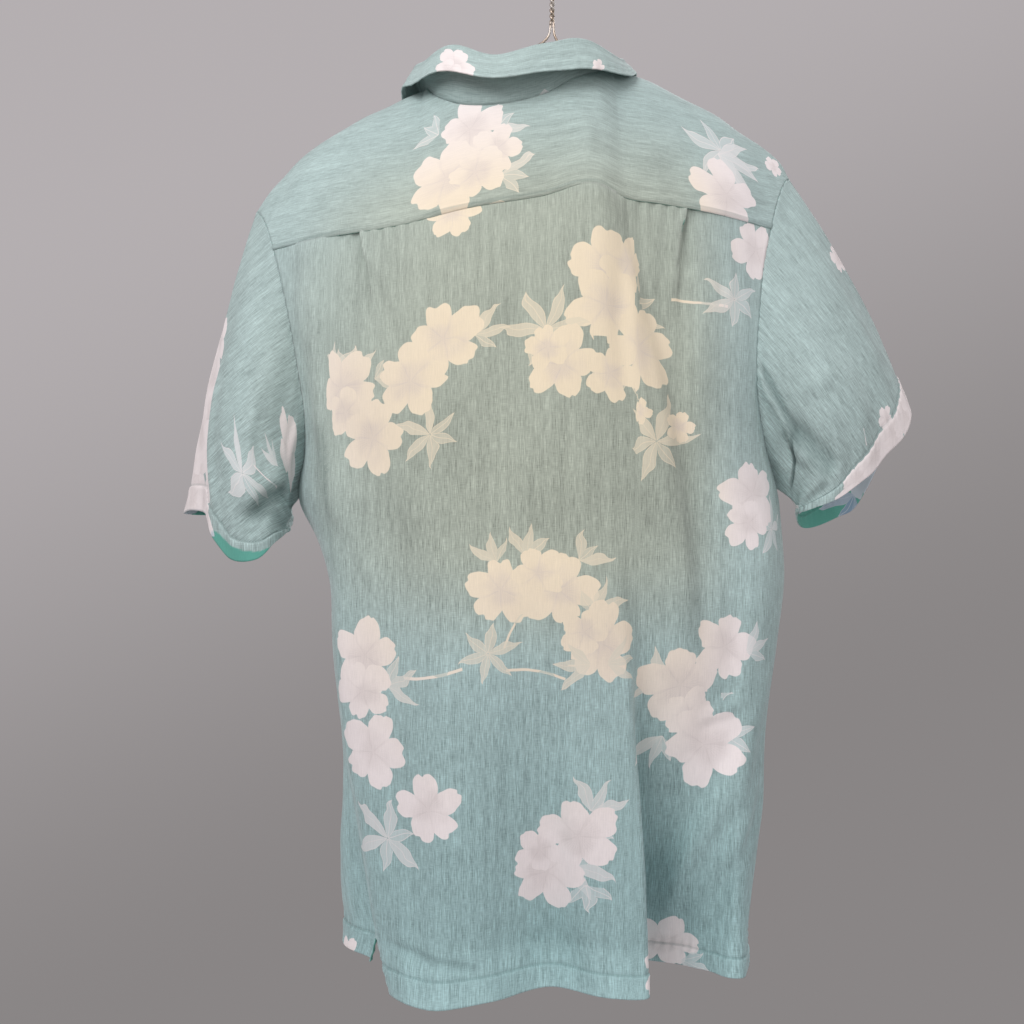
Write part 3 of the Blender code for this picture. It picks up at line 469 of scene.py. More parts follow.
def front_surface(s, v, hand):
    """A front: s runs from the side (0) to the front edge (1), v from the top edge to the
    hem, built like the back, with a quarter turn from the side to the middle."""
    sign = -1 if hand == "left" else 1

    def unfolded(level):
        side = side_edge(level, hand, "front")
        depth, middle, roundness = np.moveaxis(
            from_table(BODY, "v", ["front_y", "front_x", "roundness"], level), -1, 0)
        edge_x = middle - sign * PLACKET_LAP
        across = s + roundness * ((1 - np.cos(np.pi * s / 2)) - s)
        x = side[..., 0] + (edge_x - side[..., 0]) * across
        forward = np.sin(np.pi / 2 * np.clip(s / FLAT_FROM, 0, 1)) ** 0.8
        y = side[..., 1] + (depth - side[..., 1]) * forward
        return np.stack([x, y, side[..., 2]], -1)

    point = unfolded(v)
    fade = np.clip(1 - v / 0.6, 0, 1) ** 2
    point += (front_top(s, hand) - unfolded(np.zeros(np.shape(v)))) * fade[..., None]
    inside = np.clip(s * 5, 0, 1) * np.clip((1 - s) * 8, 0, 1)
    point[..., 1] += ridges(FRONT_RIDGES, point[..., 0].copy(), v) * inside
    if hand == "left":
        out = from_table(SIDE_WRAP, "v", ["out"], v)[..., 0]
        point[..., 0] -= out * np.sin(np.pi * np.clip(s / 0.5, 0, 1)) ** 1.5
        lapped = np.clip((s - 0.72) / 0.12, 0, 1)
        point[..., 1] += PLACKET_STEP * lapped * lapped * (3 - 2 * lapped)
    return point


def yoke_surface(u, v):
    """The yoke: u runs from the left sleeve (0) to the right one (1); v runs from the back
    seam (0) up to the ridge or the neckline (1), and on to the front seam (2)."""
    left_share = u / NECK_START
    right_share = (1 - u) / (1 - NECK_END)
    angle = -90 + 180 * np.clip((u - NECK_START) / (NECK_END - NECK_START), 0, 1)
    on_left = (u < NECK_START)[..., None]
    on_right = (u > NECK_END)[..., None]
    spine = np.where(on_left, ridge(np.clip(left_share, 0, 1), "left"), neck(angle))
    spine = np.where(on_right, ridge(np.clip(right_share, 0, 1), "right"), spine)
    front = np.where(u[..., None] < 0.5, front_seam(np.clip(left_share, 0, 1), "left"),
                     front_seam(np.clip(right_share, 0, 1), "right"))
    seam_x = smooth((0, NECK_START, NECK_END, 1), (-238, -118, 58, 186), u)
    seam = back_seam(seam_x)
    openness = np.clip(np.cos(np.radians(angle)), 0, 1) ** 0.7
    climb = np.clip(v, 0, 1)
    rest = 1 - climb
    height_power = (1.7 - 0.6 * openness)
    back = seam + (spine - seam) * climb[..., None]
    back[..., 2] = spine[..., 2] + (seam - spine)[..., 2] * rest ** height_power
    over = np.clip(v - 1, 0, 1)
    point = back + (front - spine) * over[..., None]
    point[..., 2] = back[..., 2] + (front - spine)[..., 2] * over ** 1.6
    return point


def armhole(share, hand):
    """The armhole: from the crown over the yoke's back end, down the back's edge, up the
    front's edge and over the yoke's front end, as share goes from 0 to 1."""
    behind = share < 0.5
    u = np.full(np.shape(share), 0.0 if hand == "left" else 1.0)
    over_yoke = np.where(behind, 1 - share / YOKE_END, 1 + (1 - share) / YOKE_END)
    on_yoke = yoke_surface(u, np.clip(over_yoke, 0, 2))
    from_crown = np.where(behind, share, 1 - share)
    level = np.clip((from_crown - YOKE_END) / (0.5 - YOKE_END), 0, 1) * UNDERARM
    on_body = np.where(behind[..., None], back_surface(u, level, False),
                       front_surface(np.zeros(np.shape(share)), level, hand))
    return np.where((from_crown < YOKE_END)[..., None], on_yoke, on_body)


def sleeve_surface(share, t, hand):
    """A sleeve: share goes round from the crown by the back, t from the armhole to the hem.
    Each line runs straight to the hem and puffs out by half a wave."""
    table = LEFT_SLEEVE if hand == "left" else RIGHT_SLEEVE
    head, rows = table[0], table[1:]
    closed = (head,) + rows + ((rows[0][0], 1.0) + rows[0][2:],)
    hem = from_table(closed, "share", ["x", "y", "z"], share)
    puff = from_table(closed, "share", ["puff_x", "puff_y"], share)
    top = armhole(share, hand)
    point = top + (hem - top) * t[..., None]
    point[..., :2] += puff * np.sin(np.pi * t)[..., None]
    return point


def collar_surface(angle, q):
    """The collar: the angle goes round the neck, q up the stand (0 to 0.4), over the fold
    (0.4 to 0.6) and down the fall (0.6 to 1)."""
    seat, rise, lean, drop, spread = np.moveaxis(
        from_table(COLLAR, "angle", ["seat", "rise", "lean", "drop", "spread"], angle), -1, 0)
    fold = COLLAR_FOLD
    stand = np.clip(q / 0.4, 0, 1)
    turn = np.pi * np.clip((q - 0.4) / 0.2, 0, 1)
    fall = np.clip((q - 0.6) / 0.4, 0, 1)
    out = lean * stand ** 1.2 + fold * (1 - np.cos(turn))
    up = rise * stand + fold * np.sin(turn)
    out += (spread - 2 * fold) * fall
    up -= drop * fall
    radians = np.radians(angle)
    outward = unit(np.stack([np.sin(radians), -np.cos(radians), np.zeros(np.shape(angle))], -1))
    point = neck(angle) + outward * out[..., None]
    point[..., 2] += up + seat
    return point


def spread_out(marks):
    """Steps between marks given as (place, number of steps to the next mark)."""
    parts = [np.linspace(a[0], b[0], a[1], endpoint=False) for a, b in zip(marks, marks[1:])]
    return np.concatenate(parts + [[marks[-1][0]]])


# ---- the fine cloth -------------------------------------------------------------------
SKIN = 0.22                 # half the thickness of one layer of cloth
TURNED = 0.42               # extra half thickness where a hem is turned in twice
COLLAR_SKIN = 0.6           # half the thickness of the collar's two layers
HEM = 20.0                  # depth of the body's hem
SLEEVE_HEM = 24.0
SLIT_HEM = 6.0
PLACKET = 30.0              # width of the front band
COLLAR_STITCH = 5.0         # from the collar's edge to its stitches
GATHERS = (-128.0, 132.0)   # places across the back where it is gathered at its seam
BUTTON_LEVELS = (0.03, 0.17, 0.31, 0.45, 0.59, 0.73)
THREAD_LEAN = {"left": -52, "right": 38}    # of the sleeves' threads, in degrees
SLEEVE_COLUMNS = 221        # points round a sleeve, and round the collar
COLLAR_COLUMNS = 181
NOWHERE = 99.0              # a stitch line at this distance doesn't show

# The tables of creases, tucks, waves and motifs have rows for each piece.  Their places are
# on the piece's own cloth, in millimetres: u across it and w down it.

# Small folds, placed one by one along lines: u1, w1, u2, w2, depth, half.  A positive depth
# is a ridge with a trough beside it.
CREASES = {
    "back": (
        (-136, 14, -96, 130, 1.7, 5), (-92, 12, -76, 110, 1.2, 6), (143, 1, 134, 58, -2.0, 2.2),
        (-137, 2, -125, 62, -1.3, 2.4), (-171, 6, -158, 80, 1.1, 5),
        (-196, 20, -184, 130, 1.2, 6), (-20, 10, -4, 130, 1.2, 9), (8, 4, 24, 140, -1.3, 10),
        (131, 8, 119, 100, 1.3, 5), (160, 6, 150, 70, 1.0, 4), (187, 8, 176, 90, 1.3, 5),
        (98, 14, 119, 330, 2.2, 8), (158, 60, 172, 340, 1.8, 11), (186, 130, 190, 430, 1.6, 12),
        (-178, 90, -150, 350, 1.5, 10), (136, 432, 184, 414, 1.5, 6),
        (-112, 380, -122, 660, 1.8, 20), (-60, 330, -52, 660, 1.8, 22),
        (14, 430, 30, 665, 2.0, 15), (232, 470, 262, 665, 2.2, 10),
        (196, 400, 226, 640, 1.8, 9), (-30, 150, -18, 330, 0.9, 14),
        (-100, 210, -84, 380, 0.9, 13),
    ),
    "sleeve_left": (
        (29, 105, 52, 262, 3.0, 8), (118, 40, 100, 170, 1.4, 9), (66, 20, 78, 150, 1.0, 10),
        (190, 20, 176, 90, 1.6, 7), (-120, 60, -66, 210, 1.8, 12),
        (-196, 30, -150, 150, 1.6, 9),
    ),
    "sleeve_right": (
        (-152, 62, -98, 118, 1.6, 7), (-110, 30, -86, 150, 1.2, 11),
        (-60, 50, -52, 180, 1.1, 12), (-205, 50, -180, 118, 2.0, 6),
        (90, 40, 110, 180, 1.8, 11), (180, 30, 150, 130, 1.6, 9),
    ),
    "front_left": (
        (-140, 30, -110, 200, 1.4, 9), (-60, 30, -66, 220, 1.2, 12),
        (60, 250, 40, 500, 1.8, 14), (-90, 420, -96, 700, 2.0, 16), (0, 480, 6, 710, 1.8, 14),
    ),
    "front_right": (
        (140, 30, 116, 200, 1.4, 9), (60, 40, 66, 230, 1.2, 12), (-30, 260, -16, 500, 1.8, 14),
        (96, 420, 100, 700, 2.0, 16), (30, 480, 24, 715, 1.8, 14),
    ),
    "yoke": (
        (-200, -30, -120, -70, 1.2, 9), (90, -30, 180, -80, 1.2, 9), (60, -12, 66, -80, 1.6, 7),
        (-120, -90, -40, -98, 0.9, 7),
    ),
}

# Tucks, where the cloth folds over itself: u1, w1, u2, w2, depth, half, shade.  It climbs
# softly to an edge along the line and falls away sharply to a hollow on the line's right
# (seen looking from 1 to 2 with w down).  shade is how strongly that hollow is painted
# darker, as painted shade.
TUCKS = {
    "sleeve_left": (
        (78, 220, 176, 98, 5.4, 10, 0.8), (150, 196, 186, 138, 2.6, 9, 0.1),
    ),
    "sleeve_right": (
        (-195, 92, -183, -4, 4.4, 6.5, 0.5), (-194, 44, -197, 90, 1.5, 10, 1.0),
        (-150, 184, -200, 62, 5.4, 11, 0.6), (-232, 96, -192, 60, 2.6, 6, 0.4),
    ),
    "back": (
        (-249, 150, -206, 310, 1.2, 14, 0.4), (-150, 618, -60, 634, 1.6, 6, 0.15),
    ),
}

# Slow waves in the hang: wavelength across, depth at the top and at the bottom, shift and
# slant.
WAVES = {
    "back": (
        (96, 0.2, 2.2, 0.3, 0.04), (61, 0.1, 1.1, 2.1, -0.06), (37, 0.1, 0.4, 4.0, 0.10),
    ),
    "front_left": (
        (88, 0.4, 2.4, 1.3, 0.05), (49, 0.2, 1.0, 2.9, -0.08),
    ),
    "front_right": (
        (92, 0.4, 2.4, 4.2, -0.04), (53, 0.2, 1.0, 0.7, 0.07),
    ),
    "sleeve_left": (
        (70, 0.2, 1.4, 0.9, 0.25), (41, 0.1, 0.7, 3.0, -0.20),
    ),
    "sleeve_right": (
        (66, 0.2, 1.4, 2.4, -0.25), (43, 0.1, 0.7, 5.0, 0.20),
    ),
    "yoke": (
        (83, 0.5, 0.5, 0.0, 0.30), (47, 0.25, 0.25, 1.7, -0.50),
    ),
}


def nearest(values, wanted):
    """The number of the value nearest to the wanted one."""
    return int(np.argmin(np.abs(values - wanted)))


def run_along(points, axis=0):
    """The distance gone along an axis of a row or grid of points."""
    steps = np.linalg.norm(np.diff(points, axis=axis), axis=-1)
    start = np.zeros_like(np.take(steps, [0], axis))
    return np.concatenate([start, np.cumsum(steps, axis=axis)], axis=axis)


def facing(grid):
    """The direction across the cloth at each point."""
    return unit(np.cross(np.gradient(grid, axis=0), np.gradient(grid, axis=1)))


def unevenness(u, w, seed):
    """A smooth random height of about one: sines in many directions, added."""
    chance = np.random.default_rng(seed)
    out = np.zeros(u.shape)
    for wavelength in (170, 120, 85, 60, 44, 33):
        turn, shift = chance.uniform(0, 2 * np.pi, 2)
        along = u * np.cos(turn) + w * np.sin(turn)
        wander = np.sin(2 * np.pi * (w * np.cos(turn) - u * np.sin(turn)) / 310 + shift * 3)
        out += wavelength / 170 * np.sin(2 * np.pi * along / wavelength + shift + wander)
    return out / 1.6


def step_up(x):
    """A smooth step from nought to one as x goes from 0 to 1."""
    x = np.clip(x, 0, 1)
    return x * x * (3 - 2 * x)


def by_line(u, w, u1, w1, u2, w2):
    """Each point's place along a line as a share of it, its distance to the line's right,
    and the line's length."""
    run = math.hypot(u2 - u1, w2 - w1)
    du, dw = (u2 - u1) / run, (w2 - w1) / run
    share = ((u - u1) * du + (w - w1) * dw) / run
    return share, (w - w1) * du - (u - u1) * dw, run


def small_folds(piece, u, w):
    """Heights along the normal: the creases drawn one by one, each a ridge and a trough along
    its line that fade at both ends, the slow waves, and a faint unevenness."""
    out = 0.55 * unevenness(u, w, sum(map(ord, piece)))
    depth_down = step_up(w / max(float(w.max()), 1.0))
    for length, top, bottom, shift, slant in WAVES[piece]:
        depth = top + (bottom - top) * depth_down
        wander = 0.9 * np.sin(w / 130 + shift * 2)
        out += depth * np.sin(2 * np.pi * (u + slant * w) / length + shift + wander)
    for *line, depth, half in CREASES[piece]:
        t, aside, run = by_line(u, w, *line)
        bow = 0.06 * run * np.sin(np.pi * np.clip(t, 0, 1)) * (1 if half > 5 else -1)
        q = (aside - bow) / half
        ends = step_up(t / 0.3) * step_up((1 - t) / 0.35)
        out += depth * ends * (np.exp(-q * q) - 0.55 * np.exp(-(q - 1.7) ** 2))
    return out


def tucks(piece, u, w):
    """The tucks' heights along the normal, and how much painted shade each point gets in a
    tuck's hollow, from nought to one."""
    out, hollow = np.zeros(u.shape), np.zeros(u.shape)
    for *line, depth, half, shade in TUCKS[piece]:
        t, aside, _ = by_line(u, w, *line)
        q = aside / half + 0.3 * np.sin(np.pi * np.clip(t, 0, 1))
        ends = step_up(t / 0.25) * step_up((1 - t) / 0.2)
        edge = np.exp(-(q / np.where(q < 0, 1.8, 0.6)) ** 2)
        fallen = np.exp(-((q - 1.2) / 0.7) ** 2)
        out += depth * ends * (edge - 0.9 * fallen)
        # painted shade: darker in the hollow beside each tuck, by the row's shade
        hollow += ends * shade * np.exp(-((q - 0.8) / 0.75) ** 2)
    return out, np.clip(hollow, 0, 1)


def hem_relief(u, from_edge, width, rise=0.60):
    """A turned hem seen from outside: the band stands a little proud, with a groove at its
    stitches and puckers that they draw in, as (height, extra half thickness)."""
    beyond = from_edge - width
    band = 1 - step_up((beyond + 1.0) / 1.4)
    groove = -0.75 * np.exp(-(beyond / 1.7) ** 2)
    draw = np.exp(-(beyond / 7.0) ** 2)
    pucker = 0.45 * draw * np.sin(2 * np.pi * u / 8.3 + 1.6 * np.sin(u / 21))
    return rise * band + groove + pucker, TURNED * band


def body_hems(u, w, v, side):
    """A body panel's turned hem and turned slit edges: the heights of both, their extra
    half thickness, their stitch lines and how far each point is beside a slit.  side is
    the distance to the side edge."""
    from_hem = w.max() - w
    below = step_up((v - SLIT_TOP) / 0.004)
    hem, thick = hem_relief(u, from_hem, HEM)
    slit, slit_thick = hem_relief(w, side, SLIT_HEM)
    lines = [(from_hem - HEM, u), (np.where(below > 0.5, side - SLIT_HEM, NOWHERE), w)]
    return hem, slit * below, np.maximum(thick, slit_thick * below), lines, below


def nearest_stitch(*lines):
    """Of several stitch lines, each given as (distance from it, length along it), the
    nearest one at every point."""
    away = np.stack([np.abs(distance) for distance, along in lines], -1)
    along = np.stack([np.broadcast_to(run, away.shape[:-1]) for distance, run in lines], -1)
    first = away.argmin(-1)[..., None]
    return np.concatenate([np.take_along_axis(away, first, -1),
                           np.take_along_axis(along, first, -1)], -1)


# ---- meshes ---------------------------------------------------------------------------
def put_object(name, mesh, finish):
    """An object on the root body, with its finish."""
    mesh.shade_smooth()
    mesh.materials.append(finish)
    made = bpy.data.objects.new(name, mesh)
    bpy.context.collection.objects.link(made)
    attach(made, "root")
    return made


def put_mesh(name, points, faces, finish):
    """An object on the root body from points in millimetres and faces."""
    mesh = bpy.data.meshes.new(name)
    mesh.from_pydata(np.asarray(points) * MM, [], [tuple(map(int, f)) for f in faces])
    return put_object(name, mesh, finish)


def add_attribute(mesh, name, domain, values):
    """A number, or a vector where values has rows of three, for every point or corner."""
    kind, key = ("FLOAT", "value") if values.ndim == 1 else ("FLOAT_VECTOR", "vector")
    made = mesh.attributes.new(name, kind, domain)
    made.data.foreach_set(key, values.astype(np.float32).ravel())


def put_shell(name, grid, half, u, w, stitch, threads=None, keep=None, turned=None,
              band=None, hollow=None):
    """A thin shell round a grid of points, in place of the piece's plainer solid: outer
    skin, inner skin and the rims between.  It carries the cloth coordinates u and w as its
    UV map, the stitch lines (with the painted shade as their third number) and which side a
    point is on as attributes, and the motifs of the print that cross each face.  threads
    gives every point's place across and along the threads (else u and w); keep says which
    faces are made, turned where the outer skin shows the inner side too, band which points
    belong to a cuff, and hollow how much painted shade each point gets, in a tuck's hollow
    or under the collar's fold."""
    across, down = grid.shape[:2]
    shift = facing(grid) * half[..., None]
    points = np.concatenate([(grid + shift).reshape(-1, 3), (grid - shift).reshape(-1, 3)])
    i, j = np.meshgrid(np.arange(across - 1), np.arange(down - 1), indexing="ij")
    if keep is not None:
        i, j = i[keep], j[keep]
    a = (i * down + j).ravel()
    quads = np.stack([a, a + down, a + down + 1, a + 1], -1)
    edges = np.concatenate([quads[:, [side, (side + 1) % 4]] for side in range(4)])
    total = across * down
    forward = edges[:, 0] * total + edges[:, 1]
    backward = edges[:, 1] * total + edges[:, 0]
    rims = edges[~np.isin(forward, backward)]
    rim_faces = np.stack([rims[:, 1], rims[:, 0], rims[:, 0] + total, rims[:, 1] + total], -1)
    faces = np.concatenate([quads, quads[:, [0, 3, 2, 1]] + total, rim_faces])
    used = np.unique(faces)
    place = np.full(2 * total, -1)
    place[used] = np.arange(len(used))

    mesh = bpy.data.meshes.new(name)
    mesh.from_pydata(points[used] * MM, [], place[faces])
    cloth_uv = np.stack([u, w], -1)
    both = np.tile(np.arange(total), 2)     # a grid point's number, for both skins
    corner_uv = cloth_uv.reshape(-1, 2)[both][faces]
    layer = mesh.uv_layers.new(name="cloth")
    layer.uv.foreach_set("vector", (corner_uv * MM).astype(np.float32).ravel())
    outer = np.zeros(total) if turned is None else turned.ravel()
    inner = np.zeros(total) if name == "collar" else np.ones(total)
    add_attribute(mesh, "inner_side", "POINT", np.concatenate([outer, inner])[used])
    # painted shade, in the tucks' hollows and under the collar's fold, goes with the stitch
    # lines as their third number
    painted_shade = np.zeros(total) if hollow is None else hollow.ravel()
    stitches_and_shade = np.concatenate([stitch.reshape(-1, 2), painted_shade[:, None]], -1)
    add_attribute(mesh, "stitches", "POINT", stitches_and_shade[both][used])
    grain = (cloth_uv if threads is None else threads).reshape(-1, 2)[both][used] * MM
    add_attribute(mesh, "threads", "POINT", np.pad(grain, ((0, 0), (0, 1))))
    cuff = np.zeros(len(faces), bool)
    if band is not None:
        cuff = band.ravel()[both][faces].mean(axis=1) > 0.6
    put_print(mesh, corner_uv, name, cuff)
    made = put_object(name + "_cloth", mesh, cloth_material())
    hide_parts(name)
    return made


# ---- the print -----------------------------------------------------------------------
LAYERS = 4                  # how many motifs may lie on one another
FLOWER, SPRAY, STEM, FAN = 1, 2, 3, 4       # kinds of motif
FAR_OFF = 9.0               # where a face without a motif lies, in a motif's own measure

# The motifs on each piece's cloth: kind, u, w, radius, turn, parts, seed.  The later ones
# lie on the earlier ones.
MOTIFS = {
    "yoke": (
        (4, -66, -76, 33, -150, 9, 0.11), (4, -14, -65, 31, -40, 9, 0.12),
        (4, -8, -23, 31, 10, 9, 0.13), (1, -34, -70, 32, -20, 5, 0.21),
        (1, -11, -48, 22, -70, 5, 0.22), (1, -54, -30, 36, 0, 5, 0.23),
        (1, -29, -30, 25, -40, 5, 0.24), (4, -17, 0, 26, 60, 8, 0.14),
        (2, 205, -64, 44, 20, 6, 0.15), (4, 199, -59, 44, 18, 9, 0.26),
        (1, 280, -65, 14, 30, 5, 0.27), (1, 193, -19, 33, -10, 5, 0.28),
    ),
    "back": (
        (1, -85, 4, 24, -10, 5, 0.25), (1, 192, 25, 30, -50, 5, 0.29),
        (2, 165, 74, 31, -30, 6, 0.16), (3, 134, 81, 25, 0, 1, 0.50),
        (4, 68, 92, 39, -20, 8, 0.17), (4, 46, 125, 39, -160, 8, 0.18),
        (4, 53, 135, 46, 100, 8, 0.10), (1, 40, 67, 33, -20, 5, 0.30),
        (1, 57, 56, 25, -70, 5, 0.31), (1, 38, 96, 35, -50, 5, 0.32),
        (1, 77, 125, 37, -10, 6, 0.33), (1, 41, 149, 23, 0, 5, 0.34),
        (2, -10, 111, 38, -60, 6, 0.19), (1, 3, 139, 29, 0, 5, 0.35),
        (1, -9, 125, 20, -30, 5, 0.36), (4, -67, 111, 30, -10, 8, 0.41),
        (1, -92, 111, 33, -30, 5, 0.37), (2, 94, 200, 38, -10, 6, 0.42),
        (1, 116, 186, 14, 0, 5, 0.38), (1, 79, 177, 12, 0, 5, 0.39),
        (4, -196, 135, 40, -100, 8, 0.43), (4, -181, 135, 31, -80, 9, 0.44),
        (2, -103, 191, 33, 20, 6, 0.45), (4, -157, 139, 26, -20, 9, 0.46),
        (1, -121, 144, 35, -10, 5, 0.40), (1, -191, 144, 38, -50, 5, 0.47),
        (1, -186, 167, 24, -10, 5, 0.48), (1, -159, 191, 33, 0, 5, 0.49),
        (4, -49, 297, 25, -110, 9, 0.53), (4, -26, 293, 28, -80, 9, 0.54),
        (4, 16, 297, 28, -40, 9, 0.55), (1, -46, 320, 29, -20, 5, 0.56),
        (1, 0, 320, 32, 0, 5, 0.57), (1, -17, 306, 23, -40, 5, 0.58),
        (4, 28, 341, 30, -70, 8, 0.59), (1, 33, 363, 33, -10, 5, 0.60),
        (1, 20, 354, 20, 0, 5, 0.61), (4, 26, 380, 30, -180, 9, 0.62),
        (4, 39, 380, 28, -10, 9, 0.63), (3, -103, 388, 27, -10, 1, 0.60),
        (3, -34, 350, 19, -60, 1, 0.40), (3, -18, 388, 24, 8, 1, 0.40),
        (2, -56, 371, 29, -20, 6, 0.64), (4, 104, 401, 31, -150, 8, 0.65),
        (4, 136, 419, 38, 30, 8, 0.66), (4, 157, 445, 32, 40, 8, 0.67),
        (4, 104, 445, 31, 110, 9, 0.68), (1, 117, 401, 36, -20, 5, 0.69),
        (1, 126, 427, 24, 0, 5, 0.70), (1, 140, 454, 37, -40, 5, 0.71),
        (3, 143, 393, 15, -80, 1, 0.50), (1, 157, 371, 30, 0, 5, 0.72),
        (4, 177, 376, 29, -20, 9, 0.73), (2, 214, 274, 31, 60, 5, 0.74),
        (1, 185, 244, 34, -30, 5, 0.75), (1, 179, 269, 24, 0, 5, 0.76),
        (4, -147, 401, 34, -20, 8, 0.77), (1, -168, 376, 34, -10, 5, 0.78),
        (1, -170, 406, 28, -40, 5, 0.79), (1, -160, 458, 34, 0, 5, 0.80),
        (2, -146, 532, 37, -20, 6, 0.81), (1, -105, 502, 31, -30, 5, 0.82),
        (4, 27, 502, 31, -60, 8, 0.83), (4, 24, 519, 28, -20, 9, 0.84),
        (4, 13, 549, 33, 20, 8, 0.85), (4, 25, 566, 31, 80, 8, 0.86),
        (1, -8, 562, 32, -10, 5, 0.87), (1, 19, 523, 33, -30, 5, 0.88),
        (1, -14, 541, 21, -60, 5, 0.89), (1, 113, 642, 27, 0, 5, 0.90),
        (4, 125, 660, 30, 10, 9, 0.91),
    ),
    "sleeve_left": (
        (2, 94, 170, 38, -2, 6, 0.51), (3, 125, 148, 18, -10, 1, 0.60),
        (4, 144, 117, 25, -160, 9, 0.53), (1, 175, 68, 34, -20, 5, 0.52),
        (1, -4, 118, 26, 10, 5, 0.31), (1, -10, 148, 32, 40, 5, 0.44),
        (1, -8, 184, 33, 0, 5, 0.68), (1, -42, 200, 30, 70, 5, 0.83),
        (1, 2, 216, 28, 20, 5, 0.71), (1, -36, 232, 30, 45, 5, 0.29),
        (1, 8, 236, 24, 0, 5, 0.15), (4, -150, 60, 30, 30, 9, 0.61),
        (1, -176, 82, 32, 10, 5, 0.42), (1, -142, 104, 28, 40, 5, 0.13),
        (2, -90, 190, 36, 60, 7, 0.74), (1, -60, 214, 34, 20, 5, 0.25),
        (1, -30, 196, 30, 0, 5, 0.36), (1, -118, 226, 30, 50, 5, 0.87),
    ),
    "sleeve_right": (
        (1, -4, 81, 13, 0, 5, 0.93), (1, -64, 192, 11, -30, 5, 0.95),
        (3, -99, 182, 8, -85, 1, 0.50), (2, 120, 70, 34, 10, 6, 0.49),
        (1, 150, 92, 30, 40, 5, 0.58), (4, 190, 150, 30, 120, 9, 0.27),
        (1, 210, 176, 28, 0, 5, 0.16), (1, 60, 196, 26, 20, 5, 0.65),
    ),
    "collar": (
        (1, -57, 62, 20, -60, 5, 0.33), (1, -62, 69, 13, -20, 5, 0.38),
        (1, 70, 66, 7, 0, 5, 0.35), (4, 22, 3, 22, -90, 9, 0.35), (1, 240, 40, 26, 10, 5, 0.64),
        (1, -220, 46, 24, 30, 5, 0.22),
    ),
    "sleeve_right_cuff": (
        (1, -117, 214, 23, 20, 5, 0.72), (1, -92, 206, 25, 60, 5, 0.95),
        (1, -62, 208, 27, 0, 5, 0.41), (1, -34, 208, 25, 30, 5, 0.96),
        (1, -8, 208, 24, 50, 5, 0.22), (1, 22, 210, 27, 10, 5, 0.37),
        (1, 56, 208, 28, 40, 5, 0.64), (1, 88, 210, 27, 0, 5, 0.83),
        (4, 112, 212, 42, 20, 8, 0.52), (2, -196, 210, 20, 20, 6, 0.52),
    ),
    "sleeve_left_cuff": (
        (1, 14, 256, 28, 20, 5, 0.72), (1, -14, 254, 26, 60, 5, 0.33),
        (1, -42, 256, 26, 0, 5, 0.45), (1, -70, 254, 26, 0, 5, 0.55),
        (4, 132, 250, 22, 30, 8, 0.61),
    ),
    "front_left": (
        (2, -60, 70, 30, -100, 6, 0.14), (1, -86, 96, 30, 20, 5, 0.22),
        (1, -52, 118, 26, 60, 5, 0.35), (4, -110, 128, 30, 160, 9, 0.51),
        (2, 40, 190, 34, 10, 7, 0.62), (1, 66, 214, 30, 40, 5, 0.18),
        (1, 30, 226, 24, 10, 5, 0.73), (3, 0, 205, 26, 20, 1, 0.60),
        (2, -120, 300, 32, 40, 6, 0.34), (1, -150, 330, 30, 0, 5, 0.86),
        (1, -112, 344, 32, 70, 5, 0.47), (4, -84, 372, 28, 30, 9, 0.29),
        (4, 20, 400, 30, -80, 9, 0.92), (1, 34, 432, 32, 30, 5, 0.55),
        (1, 62, 452, 26, 0, 6, 0.66), (2, -70, 520, 36, 15, 8, 0.37),
        (1, -108, 545, 30, 20, 5, 0.43), (1, -60, 562, 28, 50, 5, 0.91),
        (4, -40, 610, 30, -20, 9, 0.12), (1, -66, 632, 32, 10, 5, 0.77),
        (1, 44, 714, 16, 10, 5, 0.92),
    ),
    "front_right": (
        (2, 150, 60, 32, -60, 6, 0.81), (1, 128, 92, 30, 20, 5, 0.62),
        (1, 160, 104, 26, 50, 5, 0.15), (4, 60, 170, 30, 200, 9, 0.31),
        (1, 84, 190, 32, 0, 5, 0.48), (1, 110, 214, 26, 30, 6, 0.59),
        (2, 10, 260, 36, 20, 7, 0.24), (1, -26, 276, 28, 60, 5, 0.70),
        (3, 46, 250, 26, -15, 1, 0.40), (4, 170, 330, 30, -50, 9, 0.95),
        (1, 150, 356, 32, 40, 5, 0.33), (1, 184, 372, 28, 0, 5, 0.84),
        (2, 60, 430, 34, 75, 6, 0.45), (1, 30, 452, 30, 10, 5, 0.26),
        (1, 66, 474, 26, 40, 5, 0.57), (4, -40, 540, 30, 170, 9, 0.68),
        (1, -16, 560, 30, 20, 5, 0.79), (2, 140, 590, 38, 5, 8, 0.11),
        (1, 170, 620, 32, 30, 5, 0.52), (1, 126, 640, 26, 0, 5, 0.94),
    ),
}


